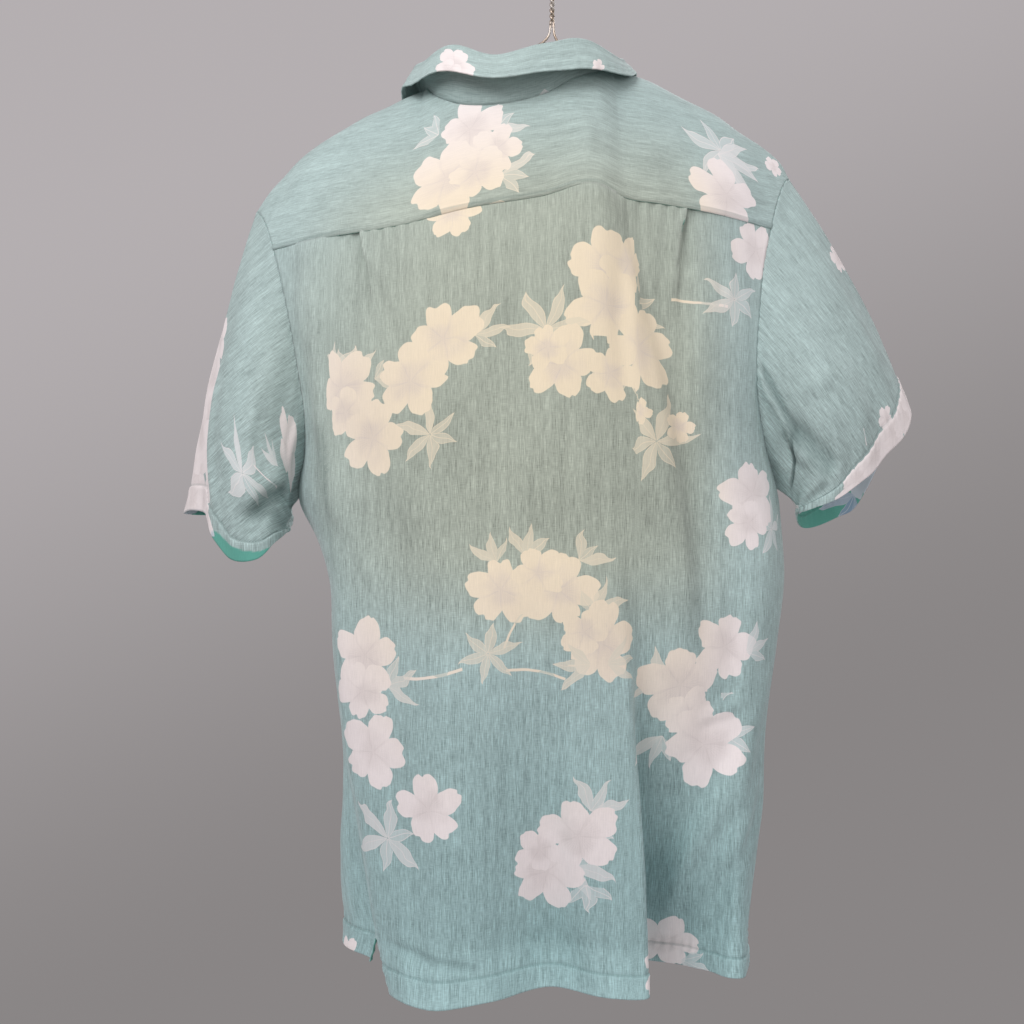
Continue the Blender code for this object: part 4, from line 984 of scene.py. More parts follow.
def put_print(mesh, corner_uv, piece, cuff):
    """Gives every face the motifs that reach it, topmost first: where its corners lie in
    the motif's own measure (its radius is 1), and what the motif is.  A cuff has its own
    motifs, in rows named after the piece with _cuff."""
    count = len(corner_uv)
    middle = corner_uv.mean(axis=1)
    reach = np.linalg.norm(corner_uv - middle[:, None], axis=-1).max(axis=1)
    spots = np.full((LAYERS, count, 4, 3), FAR_OFF, np.float32)
    kinds = np.zeros((LAYERS, count, 4, 3), np.float32)
    filled = np.zeros(count, int)
    for rows, where in ((MOTIFS[piece], ~cuff), (MOTIFS.get(piece + "_cuff", ()), cuff)):
        for kind, u, w, radius, turn, parts, seed in rows[::-1]:
            near = np.linalg.norm(middle - (u, w), axis=1) < radius * 1.25 + reach
            face = np.nonzero(near & (filled < LAYERS) & where)[0]
            layer = filled[face]
            local = (corner_uv[face] - (u, w)) / radius
            c, s = math.cos(math.radians(turn)), math.sin(math.radians(turn))
            spots[layer, face, :, 0] = local[..., 0] * c + local[..., 1] * s
            spots[layer, face, :, 1] = local[..., 1] * c - local[..., 0] * s
            spots[layer, face, :, 2] = 0
            kinds[layer, face] = (kind, parts, seed)
            filled[face] += 1
    for number in range(LAYERS):
        add_attribute(mesh, "spot_%d" % (number + 1), "CORNER", spots[number])
        add_attribute(mesh, "kind_%d" % (number + 1), "CORNER", kinds[number])


# ---- colours (linear) ------------------------------------------------------------------
GROUND_WARM = (0.40, 0.44, 0.37, 1)
GROUND_EDGE = (0.41, 0.52, 0.51, 1)
GROUND_LOW = (0.34, 0.50, 0.51, 1)
GROUND_INSIDE = (0.13, 0.41, 0.34, 1)
PETAL_WARM = (0.87, 0.75, 0.56, 1)
PETAL_COOL = (0.90, 0.83, 0.83, 1)
PETAL_HEART = (0.60, 0.53, 0.52, 1)
PETAL_INSIDE = (0.60, 0.66, 0.72, 1)
LEAF_WARM = (0.74, 0.68, 0.53, 1)
LEAF_COOL = (0.64, 0.72, 0.73, 1)
LEAF_INSIDE = (0.26, 0.38, 0.50, 1)
SHADE = (0.06, 0.11, 0.105, 1)
THREAD = (0.52, 0.60, 0.56, 1)
# The cloth is warm and pale round this place (x, z), less so up to these distances from it.
WARM_MIDDLE = (-0.005, -0.40)
WARM_REACH = (0.23, 0.34)
STITCH_STEP = 2.6           # millimetres from stitch to stitch
WARP_THREADS = 2200         # in a metre
WEFT_THREADS = 2000


# ---- finishes --------------------------------------------------------------------------
def sign(operation):
    """What an arithmetic sign does to a Value: it adds a node."""
    return lambda value, *others: value.nodes.calc(operation, value, *others)


class Value:
    """What a node gives out, with the signs of arithmetic for the sums done with it."""
    __add__, __sub__, __mul__ = sign("ADD"), sign("SUBTRACT"), sign("MULTIPLY")
    __truediv__, __mod__, __pow__ = sign("DIVIDE"), sign("FLOORED_MODULO"), sign("POWER")
    __lt__, __gt__ = sign("LESS_THAN"), sign("GREATER_THAN")
    __abs__, __round__ = sign("ABSOLUTE"), sign("ROUND")

    def __init__(self, nodes, socket):
        self.nodes = nodes
        self.socket = socket

    def __radd__(self, other):
        return self.nodes.calc("ADD", other, self)

    def __rsub__(self, other):
        return self.nodes.calc("SUBTRACT", other, self)


class Nodes:
    """A node tree with short ways to add what the finishes need."""

    def __init__(self, tree):
        self.tree = tree

    def fill(self, node, inputs):
        """A node's inputs, by name or place: a link for a Value, else a plain value."""
        for key, given in inputs.items():
            if isinstance(given, Value):
                self.tree.links.new(given.socket, node.inputs[key])
            else:
                node.inputs[key].default_value = given

    def add(self, kind, inputs=None, give=0, **settings):
        """A node with its settings and inputs.  It gives one output, by name or place, or
        all of them where give is None."""
        node = self.tree.nodes.new(kind)
        for key, value in settings.items():
            setattr(node, key, value)
        self.fill(node, inputs or {})
        if give is None:
            return [Value(self, socket) for socket in node.outputs]
        return Value(self, node.outputs[give])

    def calc(self, operation, *numbers):
        """One sum on one, two or three numbers."""
        inputs = dict(enumerate((numbers + (0.0, 0.0))[:3]))
        return self.add("ShaderNodeMath", inputs, operation=operation)

    def between(self, value, low, high, start=0.0, end=1.0):
        """start below low, end above high and a smooth climb between them."""
        inputs = dict(enumerate((value, low, high, start, end)))
        return self.add("ShaderNodeMapRange", inputs, interpolation_type="SMOOTHSTEP")

    def mix(self, share, first, second, blend="MIX"):
        """Two colours mixed by a share."""
        return self.add("ShaderNodeMix", {0: share, 6: first, 7: second}, 2,
                        data_type="RGBA", blend_type=blend)

    def noise(self, vector, scale, detail=2.0, roughness=0.5, flat=False):
        """Smooth random values about a half, of the vector's first two numbers if flat."""
        inputs = {"Vector": vector, "Scale": scale, "Detail": detail, "Roughness": roughness}
        return self.add("ShaderNodeTexNoise", inputs, noise_dimensions="2D" if flat else "3D")

    def stretched(self, vector, scale):
        """The vector measured in other steps along each axis."""
        return self.add("ShaderNodeMapping", {"Vector": vector, "Scale": scale})

    def join(self, x, y, z):
        """The vector of three numbers."""
        return self.add("ShaderNodeCombineXYZ", {0: x, 1: y, 2: z})

    def parts(self, vector):
        """The x, y and z of a vector."""
        return self.add("ShaderNodeSeparateXYZ", {0: vector}, None)

    def place(self):
        """The place on the object."""
        return self.add("ShaderNodeTexCoord", give="Object")

    def named(self, name, give="Vector"):
        """An attribute by name."""
        return self.add("ShaderNodeAttribute", give=give, attribute_name=name)


def new_material(name):
    """A material with its node helper and its shader."""
    made = bpy.data.materials.new(name)
    made.use_nodes = True
    return made, Nodes(made.node_tree), made.node_tree.nodes["Principled BSDF"]


def clouded(name, scale, detail, first, second, **contrast):
    """A material of two colours mixed by noise: it, its helper, its shader and the noise.
    contrast may give low and high, outside which only one of the colours shows."""
    made, n, shader = new_material(name)
    cloud = n.noise(n.place(), scale, detail)
    share = n.between(cloud, **contrast) if contrast else cloud
    n.fill(shader, {"Base Color": n.mix(share, first, second)})
    return made, n, shader, cloud


@functools.cache
def motif_group():
    """A node group that draws one motif in its own measure (radius 1 round its middle).

    A flower's outline is a circle whose radius falls off away from the middle of each
    petal; a spray is pointed leaves round a point, each as wide as a half wave along it; a
    fan is the three of them nearest its own direction; a stem is a bowed line.  It gives how
    far the motif covers the place, how far it is leaf and not petal, and its tone: the shade
    of a petal or the paleness of a leaf.
    """
    tree = bpy.data.node_groups.new("motif", "ShaderNodeTree")
    for name in ("Spot", "Kind"):
        tree.interface.new_socket(name, in_out="INPUT", socket_type="NodeSocketVector")
    for name in ("Cover", "Leaf", "Tone"):
        tree.interface.new_socket(name, in_out="OUTPUT", socket_type="NodeSocketFloat")
    n = Nodes(tree)
    spot, kind = n.add("NodeGroupInput", give=None)[:2]
    x, y = n.parts(spot)[:2]
    which, count, seed = n.parts(kind)
    far = n.calc("SQRT", x * x + y * y)
    seed = round(seed * 100.0)
    depth = seed * 0.4
    wobble = n.noise(n.join(x, y, depth), 1.7, 1.0) - 0.5
    ruffle = n.noise(n.join(x / far, y / far, depth), 2.3, 1.0, 0.6) - 0.5
    turns = n.calc("ARCTAN2", y, x) / (2 * math.pi) * count + wobble * 0.36
    number = round(turns)
    aside = turns - number
    chance = n.add("ShaderNodeTexWhiteNoise", {"W": number % count + seed * 11.0},
                   noise_dimensions="1D")

    # petals
    spread = (abs(aside) * 2.0) ** 2.3
    notch = 0.32 + chance * 0.14
    outline = (0.88 + chance * 0.22) * (1.0 - spread * notch)
    outline = outline + ruffle * 0.32 - n.between(abs(aside), 0.0, 0.10, 0.055, 0.0)
    petal = n.between(outline - far, 0.0, 0.025)
    vein = n.between(abs(n.calc("SINE", turns * 23.0)), 0.0, 0.45, 1.0, 0.0)
    vein = vein * n.between(far, 0.75, 0.3)
    heart = n.between(far + wobble * 0.9, 0.05, 0.66, 1.0, 0.0)
    fold = n.between(abs(aside), 0.36, 0.5) * n.between(far, 0.9, 0.3)
    shade = heart * (0.55 + vein * 0.45) + fold * 0.25

    # leaves
    bend = aside * (2 * math.pi) / count + wobble * far * 0.5
    along = far * n.calc("COSINE", bend) / (0.72 + chance * 0.46)
    beside = abs(far * n.calc("SINE", bend))
    bulge = n.calc("SINE", n.calc("MAXIMUM", along, 0.001) ** 0.8 * math.pi)
    width = n.calc("MAXIMUM", bulge, 0.0001) ** 1.2 * (0.155 + wobble * 0.12)
    edge = width - beside
    outside_fan = n.calc("COMPARE", which, FAN, 0.1) * (abs(number) > 1.5)
    within = (along < 1.0) * (along > 0.0) * (1.0 - outside_fan)
    leaf = n.between(edge, 0.0, 0.015) * within
    rib = n.between(beside, 0.004, 0.016, 1.0, 0.0)
    border = n.between(edge, 0.008, 0.030, 1.0, 0.0)
    pale = n.calc("MAXIMUM", chance * 0.5, n.calc("MAXIMUM", rib * 0.7, border))

    # stems
    bow = (seed * 0.01 - 0.5) * (1.0 - x * x)
    off = abs(y + wobble * 0.10 - bow)
    stem = n.between(off, 0.035, 0.055, 1.0, 0.0) * (abs(x) < 1.0)

    is_leaf = n.calc("COMPARE", which, SPRAY, 0.1) + n.calc("COMPARE", which, FAN, 0.1)
    is_stem = n.calc("COMPARE", which, STEM, 0.1)
    is_petal = n.calc("COMPARE", which, FLOWER, 0.1)
    n.add("NodeGroupOutput", {
        "Cover": petal * is_petal + leaf * is_leaf + stem * is_stem,
        "Leaf": 1.0 - is_petal,
        "Tone": shade * is_petal + pale * (1.0 - is_petal),
    }, None)
    return tree


@functools.cache
def cloth_material():
    """The printed cloth: a grey-green slub weave, paler and warmer over the middle of the
    back, with the motifs over it, the same print stronger and greener on the inner side.
    Painted shade darkens it along the stitch lines, in the tucks' hollows and under the
    collar's fold."""
    made, n, shader = new_material("printed_cloth")
    uv = n.add("ShaderNodeUVMap", uv_map="cloth")
    inner = n.named("inner_side", "Fac")
    grain = n.named("threads")
    x, y, z = n.parts(n.place())

    # how near the middle of the back, where the colours are warm and pale
    dx = (x - WARM_MIDDLE[0]) / WARM_REACH[0]
    dz = (z - WARM_MIDDLE[1]) / WARM_REACH[1]
    warm = n.between(dx * dx + dz * dz, 1.35, 0.0) * n.between(y, -0.01, -0.06)
    warm = warm * n.between(x, 0.17, 0.10) * n.between(z, -0.27, -0.16, 1.0, 0.15)
    ground = n.mix(n.between(z, -0.45, -0.90), GROUND_EDGE, GROUND_LOW)
    ground = n.mix(warm * n.between(z, -0.66, -0.54), ground, GROUND_WARM)
    petals = n.mix(warm, PETAL_COOL, PETAL_WARM)
    leaves = n.mix(warm, LEAF_COOL, LEAF_WARM)

    def slub(across, along):
        """Uneven threads about nought, by how finely they change across and along."""
        return n.noise(n.stretched(grain, (across, along, 1)), 1.0, 1.0, flat=True) - 0.5

    streak = slub(1350, 62) * 0.84 + slub(2500, 170) * 0.60 + slub(150, 2300) * 0.44
    streak = streak * n.between(z, -0.60, -0.18, 1.05, 0.62)
    cloud = n.noise(uv, 14.0, 2.0, flat=True) - 0.5
    tone = 1.0 + (streak + (cloud * 0.26 + slub(210, 7) * 0.30))
    soft_tone = 1.0 + streak * 0.14

    colour = n.mix(1.0, ground, tone, "MULTIPLY")
    inside_colour = n.mix(1.0, GROUND_INSIDE, soft_tone, "MULTIPLY")
    for number in range(LAYERS, 0, -1):
        drawn = {0: n.named("spot_%d" % number), 1: n.named("kind_%d" % number)}
        cover, leaf, light = n.add("ShaderNodeGroup", drawn, None, node_tree=motif_group())
        petal_colour = n.mix(light * 0.56, petals, PETAL_HEART)
        petal_colour = n.mix(1.0, petal_colour, soft_tone, "MULTIPLY")
        shown = n.mix(leaf, petal_colour, n.mix(light, leaves, petals))
        clear = leaf * ((1.0 - light) * 0.38)
        colour = n.mix(cover * (1.0 - clear), colour, shown)
        inside_shown = n.mix(leaf, PETAL_INSIDE, n.mix(light, LEAF_INSIDE, PETAL_INSIDE))
        inside_colour = n.mix(cover, inside_colour, inside_shown)
    colour = n.mix(inner, colour, inside_colour)

    # stitches: dashes along their lines, a little paler than the cloth; painted shade along
    # each line's groove, and the painted shade of the tucks and the collar's stand
    away, along, hollow = n.parts(n.named("stitches"))
    dash = n.between(n.calc("SINE", along * (2 * math.pi / STITCH_STEP)), -0.75, -0.35)
    thread = n.between(away, 0.16, 0.34, 1.0, 0.0) * dash
    groove_shade = n.between(away, 0.4, 2.0, 1.0, 0.0)
    # painted shade: darker in the stitch grooves and where the hollow share is painted
    colour = n.mix(n.calc("MAXIMUM", groove_shade * 0.27, hollow * 0.62), colour, SHADE)

    # relief: slubs, the threads of the weave, and the stitches
    u, w = n.parts(grain)[:2]
    warp = n.calc("SINE", u * (2 * math.pi * WARP_THREADS))
    weft = n.calc("SINE", w * (2 * math.pi * WEFT_THREADS))
    relief = streak * 0.6 + warp * weft * 0.10 + thread * 0.9
    bump = {"Strength": 0.35, "Distance": 0.0003, "Height": relief}
    n.fill(shader, {
        "Base Color": n.mix(thread * 0.50, colour, THREAD),
        "Normal": n.add("ShaderNodeBump", bump),
        "Roughness": 0.88 - streak * 0.12,
        "Specular IOR Level": 0.25,
        "Sheen Weight": 0.22,
        "Sheen Roughness": 0.45,
    })
    return made


@functools.cache
def button_material():
    """Pale shell-like plastic, faintly clouded."""
    made, n, shader, _ = clouded("button_shell", 260.0, 3.0, (0.62, 0.60, 0.52, 1),
                                 (0.78, 0.76, 0.70, 1), low=0.3, high=0.7)
    n.fill(shader, {"Roughness": 0.25, "Coat Weight": 0.4})
    return made


@functools.cache
def dark_material():
    """The shade inside a button's holes."""
    made, n, shader, _ = clouded("button_hole", 700.0, 2.0, (0.16, 0.15, 0.12, 1),
                                 (0.24, 0.22, 0.18, 1))
    n.fill(shader, {"Roughness": 0.7})
    return made


@functools.cache
def thread_material():
    """Sewing thread, twisted."""
    made, n, shader, _ = clouded("sewing_thread", 3000.0, 1.0, (0.30, 0.42, 0.38, 1),
                                 (0.52, 0.62, 0.56, 1))
    n.fill(shader, {"Roughness": 0.7})
    return made


@functools.cache
def wire_material():
    """Drawn steel wire, coppery and a little tarnished."""
    made, n, shader, tarnish = clouded("hanger_steel", 120.0, 4.0, (0.42, 0.33, 0.26, 1),
                                       (0.55, 0.50, 0.46, 1), low=0.35, high=0.65)
    n.fill(shader, {"Metallic": 0.9, "Roughness": n.between(tarnish, 0.3, 0.7, 0.28, 0.5)})
    return made


# ---- dressing the pieces ---------------------------------------------------------------
def lay_out(grid, middle, flip):
    """A piece's points in the order that makes its outer side face outwards, with its cloth
    coordinates: across to the right from a column and down, both seen from outside."""
    if flip:
        grid = grid[::-1]
        middle = len(grid) - 1 - middle
    across = run_along(grid)
    down = np.broadcast_to(run_along(grid[middle]), across.shape)
    return grid, -(across - across[middle]), down


def from_sides(u):
    """Distance to the nearer side edge of each row."""
    low = np.minimum(u[0], u[-1])
    high = np.maximum(u[0], u[-1])
    return np.minimum(u - low, high - u)


def dress_back():
    """The back panel: gathers by its pleats, a turned hem and turned slit edges."""
    s = spread_out(((0, 20), (0.17, 36), (0.27, 58), (0.56, 80), (0.78, 34), (0.88, 14), (1, 0)))
    v = spread_out(((0, 30), (0.15, 116), (SLIT_TOP, 36), (1, 0)))
    grid = back_surface(*np.meshgrid(s, v, indexing="ij"))
    grid, u, w = lay_out(grid, nearest(s, 0.5), True)
    even_u = upright_u(grid, u, nearest(v, 0.6))
    side = from_sides(u)
    hem, slit, thick, lines, below = body_hems(u, w, v, side)
    hold = step_up(side / 14) * step_up(w / 9)
    loose = hold + (1 - hold) * below * 0.5
    # hollow is the painted shade of the tucks' hollows
    folded, hollow = tucks("back", even_u, w)
    height = small_folds("back", u, w) * loose + folded * step_up(side / 6)
    for at in GATHERS:
        near = np.exp(-((u - at) / 42) ** 2) * np.exp(-w / 26) * step_up(w / 3)
        height += 1.1 * near * np.sin(2 * np.pi * (u - at) / 11.5 + 0.8)
    height += hem + slit
    held = np.exp(-w / 5)
    grid[..., 1] += (back_seam(grid[..., 0])[..., 1] - grid[..., 1]) * held * 0.85
    grid = grid + facing(grid) * height[..., None]
    made = put_shell("back", grid, SKIN + thick, even_u, w, nearest_stitch(*lines),
                     hollow=hollow)


def upright_u(grid, u, row):
    """The distance across the cloth that a plumb line keeps: by x alone, as it is along
    one typical row, so that the threads hang straight."""
    x, across = grid[:, row, 0], u[:, row]
    order = np.argsort(x)
    x = np.concatenate([[x.min() - 60], x[order], [x.max() + 60]])
    across = np.concatenate([[across.min() - 72], across[order], [across.max() + 72]])
    return np.interp(grid[..., 0], x, np.maximum.accumulate(across))


def dress_front(hand):
    """A front: the left one lies over the right one, with its band and buttonholes."""
    name = "front_" + hand
    s = spread_out(((0, 90), (NECK_CORNER, 70), (1, 0)))
    v = spread_out(((0, 24), (0.15, 98), (SLIT_TOP, 30), (1, 0)))
    grid = front_surface(*np.meshgrid(s, v, indexing="ij"), hand)
    grid, u, w = lay_out(grid, nearest(s, 0.3), hand == "right")
    at_side, at_front = (u[0], u[-1]) if hand == "left" else (u[-1], u[0])
    side = np.abs(u - at_side)
    front = np.abs(at_front - u)
    hem, slit, thick, lines, _ = body_hems(u, w, v, side)
    hold = step_up(side / 14) * step_up(w / 9) * (0.12 + 0.88 * step_up((front - 26) / 30))
    band = 1 - step_up((front - PLACKET) / 1.2)
    height = small_folds(name, u, w) * hold
    height += hem * (1 if hand == "left" else 0.4) + slit
    height += 0.15 * band
    half = SKIN + thick * 0.8 + 0.12 * band
    lines += [(front - 3.0, w), (front - PLACKET, w)]
    if hand == "left":
        lines += [buttonhole(front, w - w[0, nearest(v, level)]) for level in BUTTON_LEVELS]
    grid = grid + facing(grid) * height[..., None]
    made = put_shell(name, grid, half, u, w, nearest_stitch(*lines))


def buttonhole(front, down):
    """The bars of stitching on both sides of an upright buttonhole, as a stitch line that
    exists only beside it."""
    away = np.abs(np.abs(front - PLACKET_LAP) - 0.9)
    return np.where(np.abs(down) < 8.0, away, NOWHERE), down * 3


def dress_sleeve(hand):
    """A sleeve: a tube with a turned hem, its seam under the arm."""
    name = "sleeve_" + hand
    share = np.linspace(-0.5, 0.5, SLEEVE_COLUMNS)
    grid = sleeve_surface(*np.meshgrid(share % 1, np.linspace(0, 1, 131), indexing="ij"), hand)
    grid, u, w = lay_out(grid, SLEEVE_COLUMNS // 2, hand == "left")
    from_hem = w.max() - w
    hold = step_up(w / 12)
    # hollow is the painted shade of the tucks' hollows
    folded, hollow = tucks(name, u, w)
    height = small_folds(name, u, w) * hold + folded * hold
    hem, thick = hem_relief(u, from_hem, SLEEVE_HEM, 0.9)
    height += hem + 0.5 * np.exp(-w / 5) * np.sin(2 * np.pi * u / 10.5)
    height[0] = height[-1] = (height[0] + height[-1]) / 2
    grid = grid + facing(grid) * height[..., None]
    grid[0] = grid[-1] = (grid[0] + grid[-1]) / 2
    band = from_hem < SLEEVE_HEM
    threads = np.where(band[..., None], leaning(grid, 0), leaning(grid, THREAD_LEAN[hand]))
    made = put_shell(name, grid, SKIN + thick, u, w, nearest_stitch((from_hem - SLEEVE_HEM, u)),
                     threads, turned=rolled(u, from_hem) if hand == "left" else None,
                     band=band, hollow=hollow)


def leaning(grid, lean):
    """Each point's place across and along upright threads that lean by so many degrees,
    to the left at their upper end where it is positive."""
    lean = math.radians(lean)
    x, z = grid[..., 0], grid[..., 2]
    return np.stack([x * math.cos(lean) + z * math.sin(lean),
                     z * math.cos(lean) - x * math.sin(lean)], -1)


def rolled(u, from_edge):
    """Where the left sleeve's hem has rolled outwards and shows its inner side."""
    along = np.clip((u - 34) / 66, 0, 1)
    width = 15 * np.sin(np.pi * along) ** 0.5
    return 1 - step_up((from_edge - width) / 1.2 + 0.5)


def dress_yoke():
    """The yoke, with its lower edge turned under and stitched down over the back."""
    shoulder, opening, behind = 90, 100, 60     # steps of the grid
    u_share = spread_out(((0, shoulder), (NECK_START, opening), (NECK_END, shoulder), (1, 0)))
    v = spread_out(((0, behind), (1, 30), (2, 0)))
    grid = yoke_surface(*np.meshgrid(u_share, v, indexing="ij"))
    u, w = yoke_lengths(grid, u_share, behind)
    edge = -w
    on_shoulder = ((u_share <= NECK_START) | (u_share >= NECK_END))[:, None]
    hold = step_up(edge / 8) * step_up((2 - v) / 0.15)
    hold = hold * step_up(np.minimum(u - u.min(axis=0), u.max(axis=0) - u) / 12)
    hold = hold * np.maximum(step_up(np.abs(v - 1) / 0.12), on_shoulder)
    height = small_folds("yoke", u, w) * hold
    lip = 1 - step_up((edge - 2.2) / 1.5)
    height += 0.5 * lip - 0.2 * np.exp(-((edge - 4.0) / 1.2) ** 2)
    grid = grid + facing(grid) * height[..., None]
    grid[:, 0, 2] -= 1.6
    keep = np.ones((len(u_share) - 1, len(v) - 1), bool)
    keep[shoulder:shoulder + opening, behind:] = False
    in_front = np.where(v > 1, (2 - v) * 40 - 2.2, NOWHERE) + 0 * u
    made = put_shell("yoke", grid, SKIN + 0.25 * lip, u, w,
                     nearest_stitch((edge - 2.2, u), (in_front, u)), np.stack([w, u], -1), keep)


def yoke_lengths(grid, u_share, ridge_row):
    """The yoke's cloth coordinates: across from its middle and, past the ridge, from the
    neck's corners; down from the back seam, along each of its own lines (upwards is
    negative)."""
    run = run_along(grid)
    u = run - run[nearest(u_share, 0.5)]
    beyond = np.arange(grid.shape[1]) > ridge_row
    for side, corner in ((u_share <= NECK_START, NECK_START), (u_share >= NECK_END, NECK_END)):
        at = nearest(u_share, corner)
        moved = u[at, ridge_row] + run - run[at]
        u = np.where(side[:, None] & beyond, moved, u)
    return u, -run_along(grid, 1)


def dress_collar():
    """The collar: two layers of cloth, folded over, stitched near its edge, its stand
    painted darker as the shade under the fold.
    """
    angle = np.linspace(-176, 176, COLLAR_COLUMNS)
    q = spread_out(((0, 16), (0.4, 14), (0.6, 34), (1, 0)))
    grid = collar_surface(*np.meshgrid(angle, q, indexing="ij"))
    grid, u, w = lay_out(grid, COLLAR_COLUMNS // 2, True)
    run = run_along(grid, 1)
    from_tip = run[:, -1:] - run
    edge = np.minimum(from_tip, from_sides(u) + 0 * run)
    height = 0.5 * unevenness(u, w, 5) * step_up(run / 12)
    height += 0.45 * np.exp(-((edge - 5.5) / 5) ** 2) * np.sin(2 * np.pi * u / 9.5)
    height -= 0.25 * np.exp(-(edge - COLLAR_STITCH) ** 2)
    grid = grid + facing(grid) * height[..., None]
    seated = np.exp(-run / 1.5)
    grid[..., 2] -= 1.5 * seated
    grid += facing(grid) * 0.5 * seated[..., None]
    stitch = nearest_stitch((np.abs(edge - COLLAR_STITCH) + 1.3, u))
    # painted shade on the stand, where the fall hangs over it
    shaded = 0.36 * step_up((from_tip - 34) / 9)
    made = put_shell("collar", grid, np.full(u.shape, COLLAR_SKIN), u, w, stitch,
                     np.stack([w, u], -1), hollow=shaded)


# ---- the buttons -----------------------------------------------------------------------
def beside_axis(axis):
    """Two directions square to an axis: to the right and upwards."""
    right = unit(np.cross(axis, (0.0, 0.0, 1.0)))
    return right, np.cross(right, axis)


def turned_skin(profile, sides, centre, axis):
    """A turned piece: the profile's (radius, height) points carried round the axis."""
    right, up = beside_axis(axis)
    radius, height = np.array(profile, float).T
    turn = np.linspace(0, 2 * np.pi, sides, endpoint=False)
    ring = np.cos(turn)[:, None, None] * right + np.sin(turn)[:, None, None] * up
    points = centre + radius[None, :, None] * ring + height[None, :, None] * axis
    count = len(radius)
    i, j = np.meshgrid(np.arange(sides), np.arange(count), indexing="ij")
    near, far = (i * count + j), ((i + 1) % sides * count + j)
    after = (j + 1) % count - j
    faces = np.stack([near, near + after, far + after, far], -1).reshape(-1, 4)
    return points.reshape(-1, 3), faces


def dress_buttons():
    """Six buttons, each set square on the left front beside its edge."""
    for number, level in enumerate(BUTTON_LEVELS, 1):
        s = np.linspace(0.7, 1, 2001)
        line = front_surface(s, np.full(len(s), level), "left")
        at = nearest(line[:, 0], line[-1, 0] - PLACKET_LAP)
        near = np.array([s[at] - 0.01, s[at] + 0.01, s[at], s[at]])
        above = np.array([level, level, level - 0.01, level + 0.01])
        patch = front_surface(near, above, "left")
        axis = unit(np.cross(patch[1] - patch[0], patch[3] - patch[2]))
        if axis[1] < 0:
            axis = -axis
        centre = line[at] + axis * (CLOTH / 2 + SEAM_GAP + BUTTON_THICKNESS / 2)
        put_button("button_%d" % number, centre, axis)


def put_button(name, centre, axis):
    """One button: a turned disc with a rim, four shallow wells in its dish for the holes,
    painted dark as the shade inside holes, and two crossed threads through them."""
    r = BUTTON_DIAMETER / 2
    h = BUTTON_THICKNESS / 2
    turn = np.linspace(0, np.pi / 2, 9)
    rim = np.stack([r * 0.87 + r * 0.13 * np.sin(turn), h * np.cos(turn) * 0.9], -1)
    dish = np.array([(0.02, h * 0.25), (r * 0.3, h * 0.25), (r * 0.55, h * 0.3),
                     (r * 0.68, h * 0.55), (r * 0.78, h * 0.88)])
    back = np.array([(r * 0.97, -h * 0.35), (r * 0.85, -h * 0.8), (r * 0.5, -h), (0.02, -h)])
    well = ((0.02, 0.02), (0.5, 0.02), (0.62, 0.1), (0.75, 0.02), (0.6, -0.3), (0.02, -0.3))
    points, faces = turned_skin(np.concatenate([dish, rim, back]), 40, centre, axis)
    made = put_mesh(name + "_disc", points, faces, button_material())
    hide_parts(name)
    right, up = beside_axis(axis)
    reach = 1.05                # of the holes' middles, to each side
    wells, threads = [], []
    for a, b in ((-1, -1), (1, -1), (1, 1), (-1, 1)):
        spot = centre + (a * right + b * up) * reach + axis * h * 0.27
        wells.append(turned_skin(well, 14, spot, axis))
    for slant in (1, -1):
        t = np.linspace(-1, 1, 15)[:, None]
        across = (right * slant + up) * reach * t
        lift = axis * (h * 0.27 + 0.45 * (1 - t ** 4) - 0.1)
        threads.append(tube_grid(centre + across + lift, 0.24, 8))
    put_several(name + "_holes", wells, dark_material())
    put_several(name + "_thread", threads, thread_material())


def put_several(name, parts, finish):
    """Several small meshes in one object."""
    points, faces, start = [], [], 0
    for some, quads in parts:
        points.append(some)
        faces += [tuple(i + start for i in quad) for quad in quads]
        start += len(some)
    put_mesh(name, np.concatenate(points), faces, finish)


def tube_grid(path, radius, sides):
    """Round wire or thread along a path: a circle carried along it, kept from twisting by
    holding one side towards +Y, and closed at both ends."""
    path = np.asarray(path, float)
    along = unit(np.gradient(path, axis=0))
    guide = np.where(np.abs(along[:, 1:2]) > 0.9, (1.0, 0.0, 0.0), (0.0, 1.0, 0.0))
    side = unit(guide - along * np.sum(guide * along, axis=1, keepdims=True))
    other = np.cross(along, side)
    turn = np.linspace(0, 2 * np.pi, sides, endpoint=False)[None, :, None]
    ring = np.cos(turn) * side[:, None] + np.sin(turn) * other[:, None]
    points = (path[:, None] + ring * radius).reshape(-1, 3)
    i, k = np.meshgrid(np.arange(len(path) - 1), np.arange(sides), indexing="ij")
    here, beside = i * sides + k, i * sides + (k + 1) % sides
    quads = np.stack([here, beside, beside + sides, here + sides], -1).reshape(-1, 4)
    last = (len(path) - 1) * sides
    ends = [tuple(range(sides - 1, -1, -1)), tuple(range(last, last + sides))]
    return points, [tuple(quad) for quad in quads] + ends


# ---- the hanger ------------------------------------------------------------------------
def twist(start_turn):
    """One of the two wires wound round each other, from the top of the twist down."""
    z = np.linspace(TWIST_TOP, TWIST_BOTTOM, 37)
    radius = (WIRE + SEAM_GAP) / 2 + 0.02
    turn = start_turn + TWIST_TURNS * 2 * math.pi * (z - TWIST_TOP) / (TWIST_BOTTOM - TWIST_TOP)
    return np.stack([radius * np.cos(turn), radius * np.sin(turn), z], -1)


def arm_path(table, points):
    """A hanger arm's curve, by the length along its rows."""
    rows = pick(table, "x", "z")
    length = run_along(rows)
    xz = smooth(length, rows, length[-1] * np.linspace(0, 1, points) ** 1.6)
    return np.stack([xz[:, 0], np.zeros(points), xz[:, 1]], -1)


